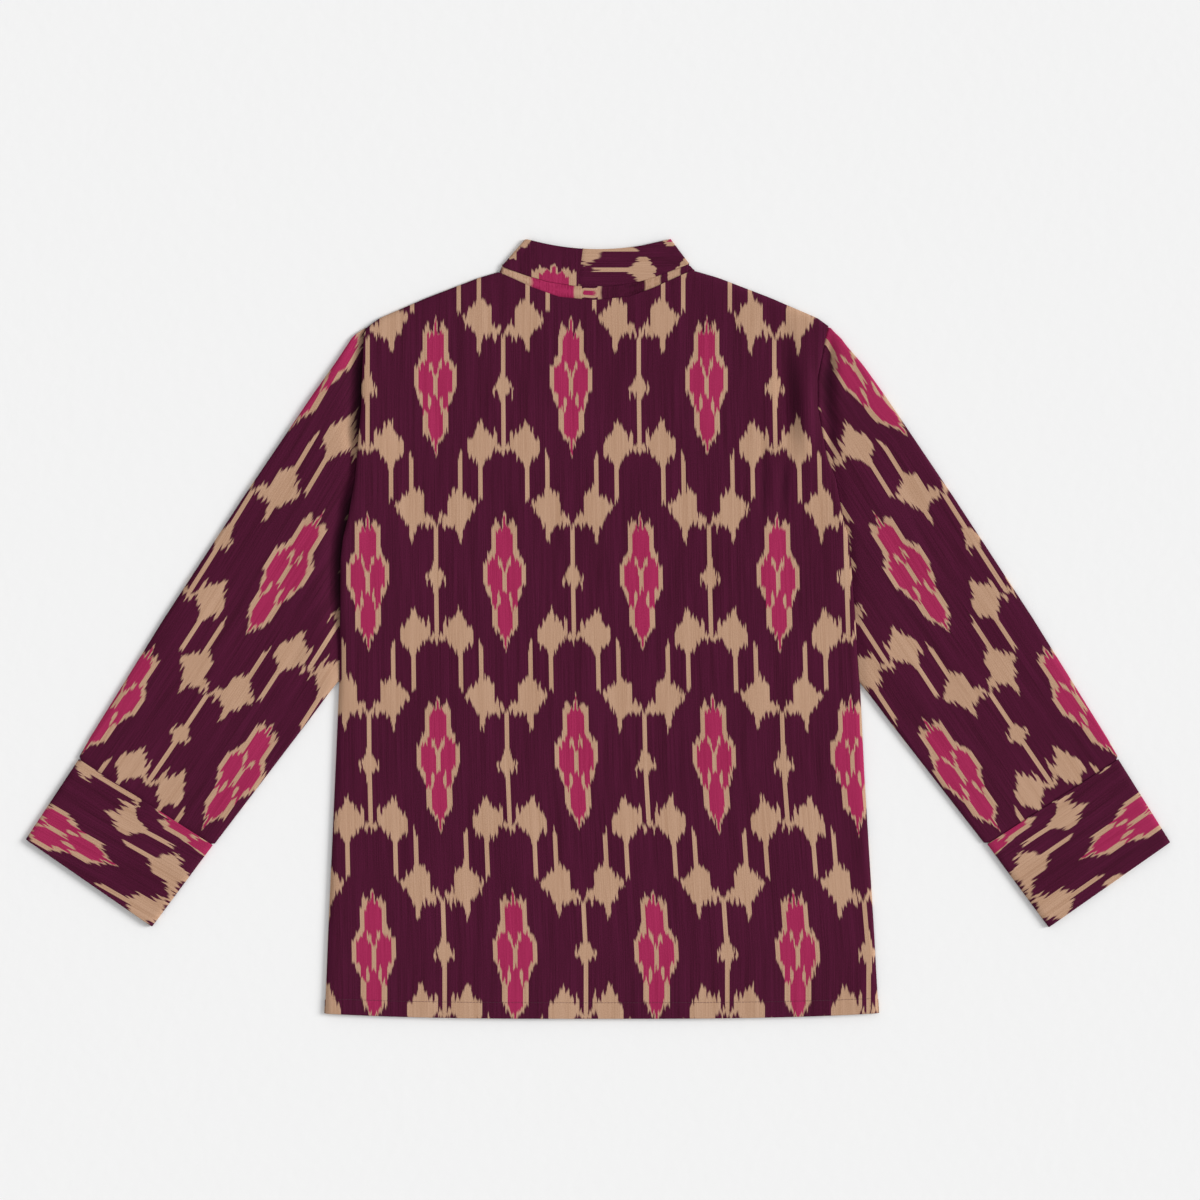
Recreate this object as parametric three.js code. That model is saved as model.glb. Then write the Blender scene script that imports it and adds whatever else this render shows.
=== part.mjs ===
// A short kurta in woven ikat cotton, laid flat on a table with its back up.
// Millimetres: X runs across the garment, Y from the hem to the collar, Z up from the table.
// Every piece is drawn with x = 0 at the centre back and y = 0 at the lowest point of the hem.
// The whole garment is then moved so that the origin is under the middle of its outline.

import * as THREE from "three";

// Cloth
const CLOTH = 1.1;
const SEAM_GAP = 0.3;
const SEAM_GAP_SLANTED = 0.42;
const SEAM_GAP_AT_CORNER = 0.8;

// Heights of the outer faces above the table
const BODY_TOP = 5.3;
const NECK_TOP = 4.4;
const BAND_TOP = 3.9;
const LAP_TOP = 2.5;
const STRIP_END_TOP = 2.9;
const EDGE_OVER_FRONT = 1.7;
const SLEEVE_TOP = 5.1;
const CUFF_TOP = 5.5;

// Round of the folded edges: how far it reaches in, over and under its widest line
const FOLD_OVER = 7;
const FOLD_UNDER = 2.5;
const FOLD_STEPS_OVER = [0, 30, 60, 90];
const FOLD_STEPS_UNDER = [45, 90];

// Body
const HEM_HALF_WIDTH = 270;
const HEM_RISE = 5;
const SHOULDER_TIP = 691.5;
const SHOULDER_ROUND = SHOULDER_TIP - FOLD_OVER;
const UNDERARM = 337;

// Side of the body from the hem up the armhole to the shoulder: y, left and right x, and the edge's height
const SIDE = [
  { y: 0, left: -273.5, right: 280, edge: EDGE_OVER_FRONT },
  { y: 80, left: -270.5, right: 276, edge: EDGE_OVER_FRONT },
  { y: 240, left: -263.3, right: 266, edge: EDGE_OVER_FRONT },
  { y: UNDERARM, left: -259.1, right: 261.3, edge: EDGE_OVER_FRONT },
  { y: 410, left: -258.3, right: 256, edge: 2.2 },
  { y: 460, left: -257.8, right: 252, edge: 2.6 },
  { y: 480, left: -255.5, right: 250, edge: 2.7 },
  { y: 500, left: -250.5, right: 244.5, edge: 2.8 },
  { y: 540, left: -243.2, right: 237, edge: 3 },
  { y: 560, left: -241.8, right: 228.5, edge: 3.2 },
  { y: 610, left: -237.3, right: 219.3, edge: 3.4 },
  { y: 640, left: -236.7, right: 219, edge: 3.4 },
  { y: SHOULDER_ROUND, left: -234.5, right: 228, edge: 2.8 },
  { y: SHOULDER_TIP, left: -231, right: 230, edge: EDGE_OVER_FRONT },
];

// Shoulder seam, by the distance from the centre back
const SHOULDER = [
  { x: 98, y: 747 },
  { x: 120, y: 740.5 },
  { x: 172, y: 720.5 },
  { x: 219, y: 700.2 },
  { x: 231, y: SHOULDER_TIP },
];

// Back neck seam and the seam of the standing band above it, by the distance from the neck's middle
const NECK_MIDDLE = -5;
const NECK_SEAM = [
  { x: 0, y: 718.3 },
  { x: 35, y: 721.6 },
  { x: 61, y: 731 },
  { x: 81, y: 740.2 },
  { x: 94, y: 746 },
  { x: 101, y: 747.6 },
];
const BAND_SEAM = [
  { x: 0, y: 732 },
  { x: 20, y: 732.6 },
  { x: 45, y: 736.5 },
  { x: 66, y: 742.5 },
  { x: 86, y: 749.5 },
  { x: 97, y: 754.5 },
];

// Columns of cloth along the neck, by their x on the neck seam and on the band's seam
const LAP_LEFT_END = -20.5;
const NECK_COLUMNS = [
  { seam: -99, band: -96.5 },
  { seam: -84, band: -82 },
  { seam: -64, band: -62.5 },
  { seam: -42, band: -41.5 },
  { seam: LAP_LEFT_END, band: LAP_LEFT_END },
  { seam: -8, band: -8 },
  { seam: 14, band: 13 },
  { seam: 38, band: 36 },
  { seam: 60, band: 56.5 },
  { seam: 79, band: 74.5 },
  { seam: 96, band: 90.5 },
];
const SHOULDER_COLUMNS = [140, 182];

// Standing band, its free top edge and its side folds
const BAND_EDGE_MIDDLE = 769.2;
const BAND_EDGE_RISE = 10.3;
const BAND_FOLD_TOP = { left: [-73.5, 779], right: [72, 779.8] };
const BAND_FOLD_FOOT = { left: [-96.5, 752.6], right: [90.5, 755] };
const BAND_WIDTH = 40;
const BAND_ROWS = [0, 0.5, 1];
const LAP_RIGHT_END = -33;

// Front neck and its slit, which the two bands of the placket close
const FRONT_NECK_DEPTH = 672;
const FRONT_NECK_STEPS = 10;
const HEM_COLUMNS = [-180, 0, 180];
const NECK_FALL_ANGLE = THREE.MathUtils.degToRad(50);
const NECK_FALL = 45;
const NECK_SWEEP = 45;
const SLIT_HALF_WIDTH = 12.5;
const SLIT_FOOT = 420;
const UNDER_BAND_FOOT = 424;

// Sleeve: its outer edge from the shoulder tip, and its inner edge from the underarm, to the cuff
const SLEEVE_OUTER = [
  { x: 231, y: SHOULDER_TIP },
  { x: 244.5, y: 680.5 },
  { x: 259.5, y: 660.5 },
  { x: 288, y: 620.5 },
  { x: 355.5, y: 520.5 },
  { x: 434, y: 400.5 },
  { x: 508.5, y: 280.5 },
  { x: 518.8, y: 262.4 },
];
const SLEEVE_INNER = [[260, UNDERARM], [385.2, 175.9]];

// Stations down the sleeve: how far along, and the height of its upper layer
const SLEEVE_STATIONS = [
  { along: 0, top: 3.9 },
  { along: 0.015, top: 3.5 },
  { along: 0.04, top: 3.1 },
  { along: 0.075, top: 3.9 },
  { along: 0.12, top: 4.7 },
  { along: 0.18, top: SLEEVE_TOP },
  { along: 0.27, top: 4.8 },
  { along: 0.38, top: SLEEVE_TOP },
  { along: 0.5, top: 4.7 },
  { along: 0.62, top: SLEEVE_TOP },
  { along: 0.74, top: 4.8 },
  { along: 0.87, top: 4.9 },
  { along: 1, top: 4.7 },
];
const ARMHOLE_REACH = 0.4;

// Cuff: outer and inner corners at its turned-back edge and at its end
const CUFF_TOP_CORNERS = [[519.5, 259.5], [388.5, 174.5]];
const CUFF_END_CORNERS = [[571.7, 180.5], [448, 94]];
const CUFF_STATIONS = [0, 0.12, 0.45, 0.8, 1];
const CUFF_COLUMNS = [0.2, 0.4, 0.6, 0.8];
const TUCK = { first: 0.4, last: 10, inset: 1.9, floor: 1.4, top: 4.05, middle: 2.6 };

// The back sinks to the neck over these rows, and less beside the neck than below it
const NECK_SLOPE = { from: 600, to: 715, halfWidth: 110, beside: 0.6 };

// Broad swells and hollows of the back: middle, half sizes and height
const BACK_SWELLS = [
  { x: -190, y: 560, wide: 60, long: 150, height: 0.6 },
  { x: 175, y: 580, wide: 60, long: 140, height: 0.6 },
  { x: 0, y: 610, wide: 110, long: 90, height: -0.4 },
  { x: -90, y: 300, wide: 90, long: 240, height: 0.4 },
  { x: 130, y: 260, wide: 80, long: 220, height: 0.4 },
  { x: 20, y: 120, wide: 60, long: 160, height: -0.5 },
];

const COTTON = { color: 0x4a1830, roughness: 0.85, metalness: 0 };
const COTTON_DEEP = { color: 0x521a35, roughness: 0.85, metalness: 0 };

// Cloth laid out as a grid

function lookUp(table, by, value, column) {
  let row = 1;
  while (row < table.length - 1 && table[row][by] < value) row += 1;
  const a = table[row - 1];
  const b = table[row];
  const t = THREE.MathUtils.clamp((value - a[by]) / (b[by] - a[by]), 0, 1);
  return THREE.MathUtils.lerp(a[column], b[column], t);
}

function point(x, y, z) {
  return new THREE.Vector3(x, y, z);
}

function gridNormals(grid, ring, flip) {
  const rows = grid.length;
  const columns = grid[0].length;
  const spans = ring ? columns : columns - 1;
  const normals = grid.map((row) => row.map(() => point(0, 0, 0)));
  for (let r = 0; r < rows - 1; r += 1) {
    for (let c = 0; c < spans; c += 1) {
      const d = (c + 1) % columns;
      const rising = grid[r + 1][d].clone().sub(grid[r][c]);
      const falling = grid[r + 1][c].clone().sub(grid[r][d]);
      const normal = rising.cross(falling).multiplyScalar(flip ? -1 : 1);
      for (const [row, column] of [[r, c], [r, d], [r + 1, c], [r + 1, d]]) {
        normals[row][column].add(normal);
      }
    }
  }
  for (const row of normals) row.forEach((normal) => normal.normalize());
  return normals;
}

// The wall's inner face is its outer face moved in by the cloth. At an end row that lies in a
// seam, the move stays in the seam's own plane, by its normal at each point. The inner face of a
// piece that lies on another stays above the height given.
function clothWall(grid, { ring = false, flip = false, seamNormal = null, above = 0 } = {}) {
  const rows = grid.length;
  const columns = grid[0].length;
  const spans = ring ? columns : columns - 1;
  const normals = gridNormals(grid, ring, flip);
  const outer = [];
  const inner = [];
  grid.forEach((row, r) => row.forEach((p, c) => {
    const move = normals[r][c].clone();
    if (seamNormal && r === 0) move.projectOnPlane(seamNormal(p));
    const depth = CLOTH / move.length();
    outer.push(p.x, p.y, p.z);
    const q = p.clone().addScaledVector(move.normalize(), -depth);
    inner.push(q.x, q.y, Math.max(q.z, above));
  }));

  const below = rows * columns;
  const at = (r, c) => r * columns + (c % columns);
  const faces = [];
  const quad = (a, b, c, d) => faces.push(...(flip ? [a, d, c, a, c, b] : [a, b, c, a, c, d]));
  for (let r = 0; r < rows - 1; r += 1) {
    for (let c = 0; c < spans; c += 1) {
      const corners = [at(r, c), at(r, c + 1), at(r + 1, c + 1), at(r + 1, c)];
      quad(...corners);
      quad(...corners.reverse().map((corner) => corner + below));
    }
  }
  const rim = (a, b) => quad(a, a + below, b + below, b);
  for (let c = 0; c < spans; c += 1) {
    rim(at(0, c), at(0, c + 1));
    rim(at(rows - 1, c + 1), at(rows - 1, c));
  }
  if (!ring) {
    for (let r = 0; r < rows - 1; r += 1) {
      rim(at(r + 1, 0), at(r, 0));
      rim(at(r, columns - 1), at(r + 1, columns - 1));
    }
  }
  const geometry = new THREE.BufferGeometry();
  geometry.setAttribute("position", new THREE.Float32BufferAttribute([...outer, ...inner], 3));
  geometry.setIndex(faces);
  geometry.computeVertexNormals();
  return geometry;
}

function flatCloth(outline, height = 0) {
  const shape = new THREE.Shape(outline.map(([x, y]) => new THREE.Vector2(x, y)));
  const geometry = new THREE.ExtrudeGeometry(shape, { depth: CLOTH, bevelEnabled: false });
  geometry.translate(0, 0, height);
  return geometry;
}

function piece(name, geometry, finish = COTTON) {
  const mesh = new THREE.Mesh(geometry, new THREE.MeshStandardMaterial(finish));
  mesh.name = name;
  return mesh;
}

// How far a folded edge has turned in, and how far it has risen, at each step of its round
function foldStep(degrees, reach) {
  const angle = THREE.MathUtils.degToRad(degrees);
  return { inward: reach * (1 - Math.cos(angle)), risen: Math.sin(angle) };
}

// Outline of the body, shared by the front and the back

function hemLine(x) {
  return HEM_RISE * Math.abs(x / HEM_HALF_WIDTH) ** 3;
}

function isNeck(x) {
  return x > NECK_COLUMNS[0].seam && x < NECK_COLUMNS.at(-1).seam;
}

function neckSeam(x) {
  return lookUp(NECK_SEAM, "x", Math.abs(x - NECK_MIDDLE), "y");
}

function bandSeam(x) {
  return lookUp(BAND_SEAM, "x", Math.abs(x - NECK_MIDDLE), "y");
}

function bandEdge(x) {
  return BAND_EDGE_MIDDLE + BAND_EDGE_RISE * (x / BAND_FOLD_TOP.right[0]) ** 2;
}

function shoulderSeam(x) {
  return lookUp(SHOULDER, "x", Math.abs(x), "y");
}

// Back panel

function swell(x, y) {
  return BACK_SWELLS.reduce((sum, s) => {
    const away = ((x - s.x) / s.wide) ** 2 + ((y - s.y) / s.long) ** 2;
    return sum + s.height * Math.exp(-away);
  }, 0);
}

function backHeight(x, y) {
  const share = Math.abs(x) < NECK_SLOPE.halfWidth ? 1 : NECK_SLOPE.beside;
  const sunk = THREE.MathUtils.smoothstep(y, NECK_SLOPE.from, NECK_SLOPE.to) * share;
  return THREE.MathUtils.lerp(BODY_TOP + swell(x, y), NECK_TOP, sunk);
}

function backPanel() {
  const rounds = FOLD_STEPS_OVER.map((degrees) => foldStep(degrees, FOLD_OVER));
  const tipLeft = SIDE.at(-1).left + FOLD_OVER;
  const tipRight = SIDE.at(-1).right - FOLD_OVER;
  const middle = [
    ...SHOULDER_COLUMNS.map((x) => -x).reverse(),
    ...NECK_COLUMNS.map(({ seam }) => seam),
    ...SHOULDER_COLUMNS,
  ];
  const across = middle.map((x) => (x - tipLeft) / (tipRight - tipLeft));
  const columns = [
    ...rounds.map(({ inward, risen }) => ({ from: "left", inward, risen })),
    ...across.map((share) => ({ from: "middle", share, risen: 1 })),
    ...rounds.map(({ inward, risen }) => ({ from: "right", inward, risen })).reverse(),
  ];
  const rows = [
    ...SIDE.slice(0, -1).map(({ y }) => ({ y, risen: 1 })),
    ...rounds.slice(0, -1).reverse().map(({ inward, risen }) => ({ y: SHOULDER_TIP - inward, risen })),
  ];
  const place = ({ from, inward, share }, y, left, right) => {
    if (from === "left") return left + inward;
    if (from === "right") return right - inward;
    return THREE.MathUtils.lerp(left + FOLD_OVER, right - FOLD_OVER, share);
  };
  const grid = rows.map((row) => columns.map((column) => {
    const left = lookUp(SIDE, "y", row.y, "left");
    const right = lookUp(SIDE, "y", row.y, "right");
    const x = place(column, row.y, left, right);
    const xAtTop = place(column, SHOULDER_TIP, SIDE.at(-1).left, SIDE.at(-1).right);
    const top = isNeck(xAtTop) ? neckSeam(xAtTop) : shoulderSeam(xAtTop);
    const lift = (top - SHOULDER_TIP) * THREE.MathUtils.smoothstep(row.y, 0, SHOULDER_ROUND);
    const y = row.y === 0 ? hemLine(x) : row.y + lift;
    const turned = isNeck(xAtTop) ? 1 : row.risen;
    const edge = lookUp(SIDE, "y", row.y, "edge");
    return point(x, y, edge + (backHeight(x, y) - edge) * column.risen * turned);
  }));
  return piece("back", clothWall(grid, { above: CLOTH + SEAM_GAP }));
}

// Front panel, flat on the table, with its neck and slit, and the two bands of the placket

function frontNeck(side) {
  const sign = side === "left" ? -1 : 1;
  const [footX, footY] = BAND_FOLD_FOOT[side];
  const fall = [-sign * NECK_FALL * Math.cos(NECK_FALL_ANGLE), -NECK_FALL * Math.sin(NECK_FALL_ANGLE)];
  return new THREE.CubicBezierCurve(
    new THREE.Vector2(footX, footY),
    new THREE.Vector2(footX + fall[0], footY + fall[1]),
    new THREE.Vector2(sign * NECK_SWEEP, FRONT_NECK_DEPTH),
    new THREE.Vector2(0, FRONT_NECK_DEPTH),
  ).getPoints(FRONT_NECK_STEPS);
}

function frontSide(side) {
  const sign = side === "left" ? -1 : 1;
  const neck = frontNeck(side);
  return [
    ...SIDE.map((row) => [row[side], row.y === 0 ? hemLine(row[side]) : row.y]),
    ...SHOULDER.slice(0, -1).reverse().map(({ x, y }) => [sign * x, y]),
    ...neck.slice(0, -1).map(({ x, y }) => [x, y]).filter(([x]) => Math.abs(x) > SLIT_HALF_WIDTH),
    [sign * SLIT_HALF_WIDTH, FRONT_NECK_DEPTH],
    [sign * SLIT_HALF_WIDTH, SLIT_FOOT],
  ];
}

function frontPanel() {
  const outline = [
    ...HEM_COLUMNS.map((x) => [x, hemLine(x)]),
    ...frontSide("right"),
    ...frontSide("left").reverse(),
  ];
  return piece("front", flatCloth(outline), COTTON_DEEP);
}

function placketBand(name, foot, height) {
  const half = SLIT_HALF_WIDTH - SEAM_GAP;
  const head = FRONT_NECK_DEPTH - SEAM_GAP;
  const outline = [[-half, foot], [half, foot], [half, head], [-half, head]];
  return piece(name, flatCloth(outline, height));
}

// Standing band: each length runs from the lap at the centre back, round the side fold, to the
// centre front, where the two lengths meet above the placket

function bandLength(side) {
  const sign = side === "left" ? -1 : 1;
  const foot = new THREE.Vector2(...BAND_FOLD_FOOT[side]);
  const head = new THREE.Vector2(...BAND_FOLD_TOP[side]);
  const outward = new THREE.Vector2(sign * (head.y - foot.y), sign * (foot.x - head.x)).normalize();
  const lines = [];
  const addBackLine = (x, z) => {
    const highX = x * (head.x / foot.x);
    lines.push({
      low: new THREE.Vector2(x, bandSeam(x)),
      high: new THREE.Vector2(highX, bandEdge(highX)),
      z,
    });
  };
  if (side === "right") addBackLine(LAP_RIGHT_END, LAP_TOP);
  NECK_COLUMNS.map(({ band }) => band)
    .filter((x) => sign * (x - LAP_LEFT_END) >= 0 && x !== foot.x)
    .sort((a, b) => sign * (a - b))
    .forEach((x) => addBackLine(x, side === "right" && x === LAP_LEFT_END ? LAP_TOP : BAND_TOP));

  const middle = BAND_TOP / 2;
  const addFoldLine = (degrees, half) => {
    const { inward, risen } = foldStep(degrees, FOLD_UNDER);
    lines.push({
      low: foot.clone().addScaledVector(outward, -inward),
      high: head.clone().addScaledVector(outward, -inward),
      z: middle + half * risen,
    });
  };
  FOLD_STEPS_OVER.toReversed().forEach((degrees) => addFoldLine(degrees, middle));
  FOLD_STEPS_UNDER.forEach((degrees) => addFoldLine(degrees, -middle));

  const neck = frontNeck(side);
  neck.slice(1).forEach((low, step) => {
    const before = neck[step];
    const after = neck[Math.min(step + 2, neck.length - 1)];
    const run = after.clone().sub(before).normalize();
    const across = new THREE.Vector2(sign * run.y, -sign * run.x);
    const high = low.clone().addScaledVector(across, BAND_WIDTH);
    if (step === neck.length - 2) {
      low.x = sign * SEAM_GAP / 2;
      high.set(low.x, low.y + BAND_WIDTH);
    }
    lines.push({ low, high, z: 0 });
  });

  const grid = lines.map(({ low, high, z }) => {
    const across = high.clone().sub(low);
    const start = low.clone().addScaledVector(across.clone().normalize(), SEAM_GAP_SLANTED);
    return BAND_ROWS.map((share) => {
      const p = start.clone().lerp(high, share);
      return point(p.x, p.y, z);
    });
  });
  return piece(`collar_${side}`, clothWall(grid, { flip: side === "right" }), COTTON_DEEP);
}

// Crescent strip between the neck seam of the back and the seam of the band

function neckStrip() {
  const line = (share) => NECK_COLUMNS.map(({ seam, band }, column) => {
    const end = column === 0 || column === NECK_COLUMNS.length - 1;
    const low = neckSeam(seam) + (end ? SEAM_GAP_AT_CORNER : SEAM_GAP_SLANTED);
    return point(
      THREE.MathUtils.lerp(seam, band, share),
      THREE.MathUtils.lerp(low, bandSeam(band), share),
      end ? STRIP_END_TOP : BAND_TOP,
    );
  });
  return piece("neck_strip", clothWall(BAND_ROWS.map(line)), COTTON_DEEP);
}

// Sleeve: a flattened tube, whose first ring follows the armhole and whose last is inside the cuff

function tubeRing(width, { inset = 0, floor = 0, top, middle = top / 2, columns }) {
  const over = FOLD_STEPS_OVER.map((degrees) => foldStep(degrees, FOLD_OVER));
  const under = FOLD_STEPS_UNDER.map((degrees) => foldStep(degrees, FOLD_UNDER));
  const upper = [
    ...over.map(({ inward, risen }) => [inset + inward, middle + (top - middle) * risen]),
    ...columns.map((share) => [
      THREE.MathUtils.lerp(inset + FOLD_OVER, width - inset - FOLD_OVER, share),
      top,
    ]),
    ...over.map(({ inward, risen }) => [width - inset - inward, middle + (top - middle) * risen]).reverse(),
  ];
  const lower = [
    ...under.map(({ inward, risen }) => [width - inset - inward, middle - (middle - floor) * risen]),
    ...[0, ...columns, 1].map((share) => [
      THREE.MathUtils.lerp(inset + FOLD_OVER, width - inset - FOLD_OVER, share),
      floor,
    ]).reverse(),
    ...under.map(({ inward, risen }) => [inset + inward, middle - (middle - floor) * risen]).reverse(),
  ];
  return [...upper, ...lower];
}

const ARMHOLE_ROWS = SIDE.filter(({ y }) => y > UNDERARM + FOLD_OVER && y < SHOULDER_ROUND);
const ARMHOLE_COLUMNS = ARMHOLE_ROWS.map(({ y }) => (
  (SHOULDER_ROUND - y) / (SHOULDER_ROUND - UNDERARM - FOLD_OVER)
)).reverse();

function corners(pair) {
  return pair.map(([x, y]) => new THREE.Vector2(x, y));
}

function sleeve(side) {
  const sign = side === "left" ? -1 : 1;
  const outerEdge = new THREE.SplineCurve(SLEEVE_OUTER.map(({ x, y }) => new THREE.Vector2(x, y)));
  const [innerTop, innerFoot] = corners(SLEEVE_INNER);
  const tip = new THREE.Vector2(Math.abs(SIDE.at(-1)[side]), SHOULDER_TIP);
  const underarm = new THREE.Vector2(Math.abs(lookUp(SIDE, "y", UNDERARM, side)), UNDERARM);

  const ringAt = (outer, inner, section, armhole) => {
    const width = outer.distanceTo(inner);
    return tubeRing(width, { ...section, columns: ARMHOLE_COLUMNS }).map(([s, z]) => {
      const p = outer.clone().lerp(inner, s / width);
      const seam = Math.abs(lookUp(SIDE, "y", p.y, side)) + SEAM_GAP;
      const straight = THREE.MathUtils.mapLinear(p.y, tip.y, underarm.y, tip.x, underarm.x);
      return point(sign * (p.x + armhole * (seam - straight)), p.y, z);
    });
  };
  const grid = SLEEVE_STATIONS.map(({ along, top }) => {
    const outer = along === 0 ? tip : outerEdge.getPointAt(along);
    const inner = along === 0 ? underarm : innerTop.clone().lerp(innerFoot, along);
    const armhole = 1 - THREE.MathUtils.smoothstep(along, 0, ARMHOLE_REACH);
    return ringAt(outer, inner, { top }, armhole);
  });

  const [outerCorner, innerCorner] = corners(CUFF_TOP_CORNERS);
  const [outerEnd] = corners(CUFF_END_CORNERS);
  const down = outerEnd.clone().sub(outerCorner).normalize();
  for (const distance of [-TUCK.first, TUCK.last]) {
    const outer = outerCorner.clone().addScaledVector(down, distance);
    const inner = innerCorner.clone().addScaledVector(down, distance);
    grid.push(ringAt(outer, inner, TUCK, 0));
  }
  const seamNormal = (p) => {
    const run = lookUp(SIDE, "y", p.y + 1, side) - lookUp(SIDE, "y", p.y - 1, side);
    return point(1, -run / 2, 0).normalize();
  };
  return piece(`sleeve_${side}`, clothWall(grid, { ring: true, flip: side === "left", seamNormal }));
}

// Cuff: a deep band turned back over the sleeve's end

function cuff(side) {
  const sign = side === "left" ? -1 : 1;
  const [outerTop, innerTop] = corners(CUFF_TOP_CORNERS);
  const [outerEnd, innerEnd] = corners(CUFF_END_CORNERS);
  const grid = CUFF_STATIONS.map((along) => {
    const outer = outerTop.clone().lerp(outerEnd, along);
    const inner = innerTop.clone().lerp(innerEnd, along);
    const width = outer.distanceTo(inner);
    return tubeRing(width, { top: CUFF_TOP, columns: CUFF_COLUMNS }).map(([s, z]) => {
      const p = outer.clone().lerp(inner, s / width);
      return point(sign * p.x, p.y, z);
    });
  });
  return piece(`cuff_${side}`, clothWall(grid, { ring: true, flip: side === "left" }), COTTON_DEEP);
}

// The whole garment

const kurta = new THREE.Group();
kurta.add(
  frontPanel(),
  placketBand("placket_upper", SLIT_FOOT + SEAM_GAP, 0),
  placketBand("placket_under", UNDER_BAND_FOOT, CLOTH + SEAM_GAP),
  backPanel(),
  neckStrip(),
  bandLength("left"),
  bandLength("right"),
  sleeve("left"),
  sleeve("right"),
  cuff("left"),
  cuff("right"),
);
const box = new THREE.Box3().setFromObject(kurta);
const middleOfBox = box.getCenter(point(0, 0, 0));
kurta.position.set(-middleOfBox.x, -middleOfBox.y, 0);
kurta.updateMatrixWorld(true);

export default kurta;
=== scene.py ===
import math
from collections import namedtuple

import bpy
import numpy as np
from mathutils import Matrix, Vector


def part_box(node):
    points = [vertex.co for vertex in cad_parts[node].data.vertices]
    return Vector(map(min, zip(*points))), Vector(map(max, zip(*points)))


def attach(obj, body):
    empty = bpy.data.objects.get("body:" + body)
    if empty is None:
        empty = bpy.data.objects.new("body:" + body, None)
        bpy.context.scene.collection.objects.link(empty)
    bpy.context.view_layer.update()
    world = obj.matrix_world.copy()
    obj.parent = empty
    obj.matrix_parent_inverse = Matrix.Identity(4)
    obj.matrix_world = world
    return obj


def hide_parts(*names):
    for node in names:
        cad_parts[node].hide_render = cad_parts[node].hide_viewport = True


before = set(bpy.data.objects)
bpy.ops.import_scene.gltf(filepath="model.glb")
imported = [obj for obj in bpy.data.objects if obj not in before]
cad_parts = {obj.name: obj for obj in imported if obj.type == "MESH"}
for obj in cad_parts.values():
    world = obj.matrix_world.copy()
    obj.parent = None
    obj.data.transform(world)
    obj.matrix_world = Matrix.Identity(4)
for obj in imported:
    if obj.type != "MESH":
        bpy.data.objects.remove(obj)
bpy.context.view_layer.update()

# Camera: straight above the garment, with a long lens, so that the picture is 1.2 m across.
PICTURE_WIDTH = 1.2
PICTURE_MIDDLE = (0.0015, 0.0286)
CAMERA_HEIGHT = 6.0
CAMERA_SIGHT = 30
SENSOR = 36

bpy.ops.object.select_all(action="DESELECT")
bpy.ops.object.camera_add(location=(*PICTURE_MIDDLE, CAMERA_HEIGHT), rotation=(0, 0, 0))
camera = bpy.context.object
camera.name = "camera"
camera.data.sensor_width = SENSOR
camera.data.lens = SENSOR * CAMERA_HEIGHT / PICTURE_WIDTH
camera.data.clip_end = CAMERA_SIGHT
bpy.context.scene.camera = camera

# Light: one large soft lamp low on the right, a little above, and an even pale room.
LAMP_FROM = (1.0, 0.08, 0.56)
LAMP_STRENGTH = 2.68
LAMP_SOFTNESS = math.radians(24)
ROOM_STRENGTH = 0.585

bpy.ops.object.light_add(type="SUN", location=LAMP_FROM)
lamp = bpy.context.object
lamp.name = "lamp"
lamp.data.energy = LAMP_STRENGTH
lamp.data.angle = LAMP_SOFTNESS
lamp_tilt = -math.atan2(LAMP_FROM[1], LAMP_FROM[2])
lamp_lean = math.atan2(LAMP_FROM[0], LAMP_FROM[2])
lamp.rotation_euler = (lamp_tilt, lamp_lean, 0)
room = bpy.data.worlds.new("room")
room.use_nodes = True
room.node_tree.nodes["Background"].inputs["Color"].default_value = (1, 1, 1, 1)
room.node_tree.nodes["Background"].inputs["Strength"].default_value = ROOM_STRENGTH
bpy.context.scene.world = room
bpy.context.scene.view_settings.view_transform = "Standard"

# Floor: a plain pale board with the faint grain of plaster, just under the garment.
FLOOR_COLOUR = (0.9, 0.9, 0.9, 1)
FLOOR_SIZE = 8
FLOOR_DROP = 0.0002
PLASTER_GRAIN = 70
PLASTER_DEPTH = 0.0006

bpy.ops.mesh.primitive_plane_add(size=FLOOR_SIZE, location=(0, 0, -FLOOR_DROP))
floor = bpy.context.object
floor.name = "floor"
plaster = bpy.data.materials.new("plaster")
plaster.use_nodes = True
nodes = plaster.node_tree.nodes
links = plaster.node_tree.links
paint = nodes["Principled BSDF"]
paint.inputs["Base Color"].default_value = FLOOR_COLOUR
paint.inputs["Roughness"].default_value = 0.9
paint.inputs["Specular IOR Level"].default_value = 0.1
place = nodes.new("ShaderNodeTexCoord")
grain = nodes.new("ShaderNodeTexNoise")
grain.inputs["Scale"].default_value = PLASTER_GRAIN
grain.inputs["Detail"].default_value = 6
bump = nodes.new("ShaderNodeBump")
bump.inputs["Distance"].default_value = PLASTER_DEPTH
bump.inputs["Strength"].default_value = 0.35
links.new(place.outputs["Object"], grain.inputs["Vector"])
links.new(grain.outputs["Fac"], bump.inputs["Height"])
links.new(bump.outputs["Normal"], paint.inputs["Normal"])
floor.data.materials.append(plaster)

# The cloth: plain-woven cotton whose warp was tied in bundles and dyed before weaving, so that
# each motif is a set of dyed lengths side by side, with straight sides and feathered ends.
# The chart is in millimetres, by the distance from the middle of a motif: each row gives the
# foot and the head of the tied length of the threads there. The dyer ties the threads in bundles,
# and on the loom they slip a little against each other.
AUBERGINE = "3b0c20"
AUBERGINE_STREAK = "561736"
BEIGE = "ac866b"
BEIGE_STREAK = "c5a086"
ROSE = "921f48"
ROSE_STREAK = "ae305d"
# Near-black painted shade, mixed into the cloth's colour where its valleys beside the seams lie in shadow
PAINTED_SHADE_COLOUR = "0c0307"

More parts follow.
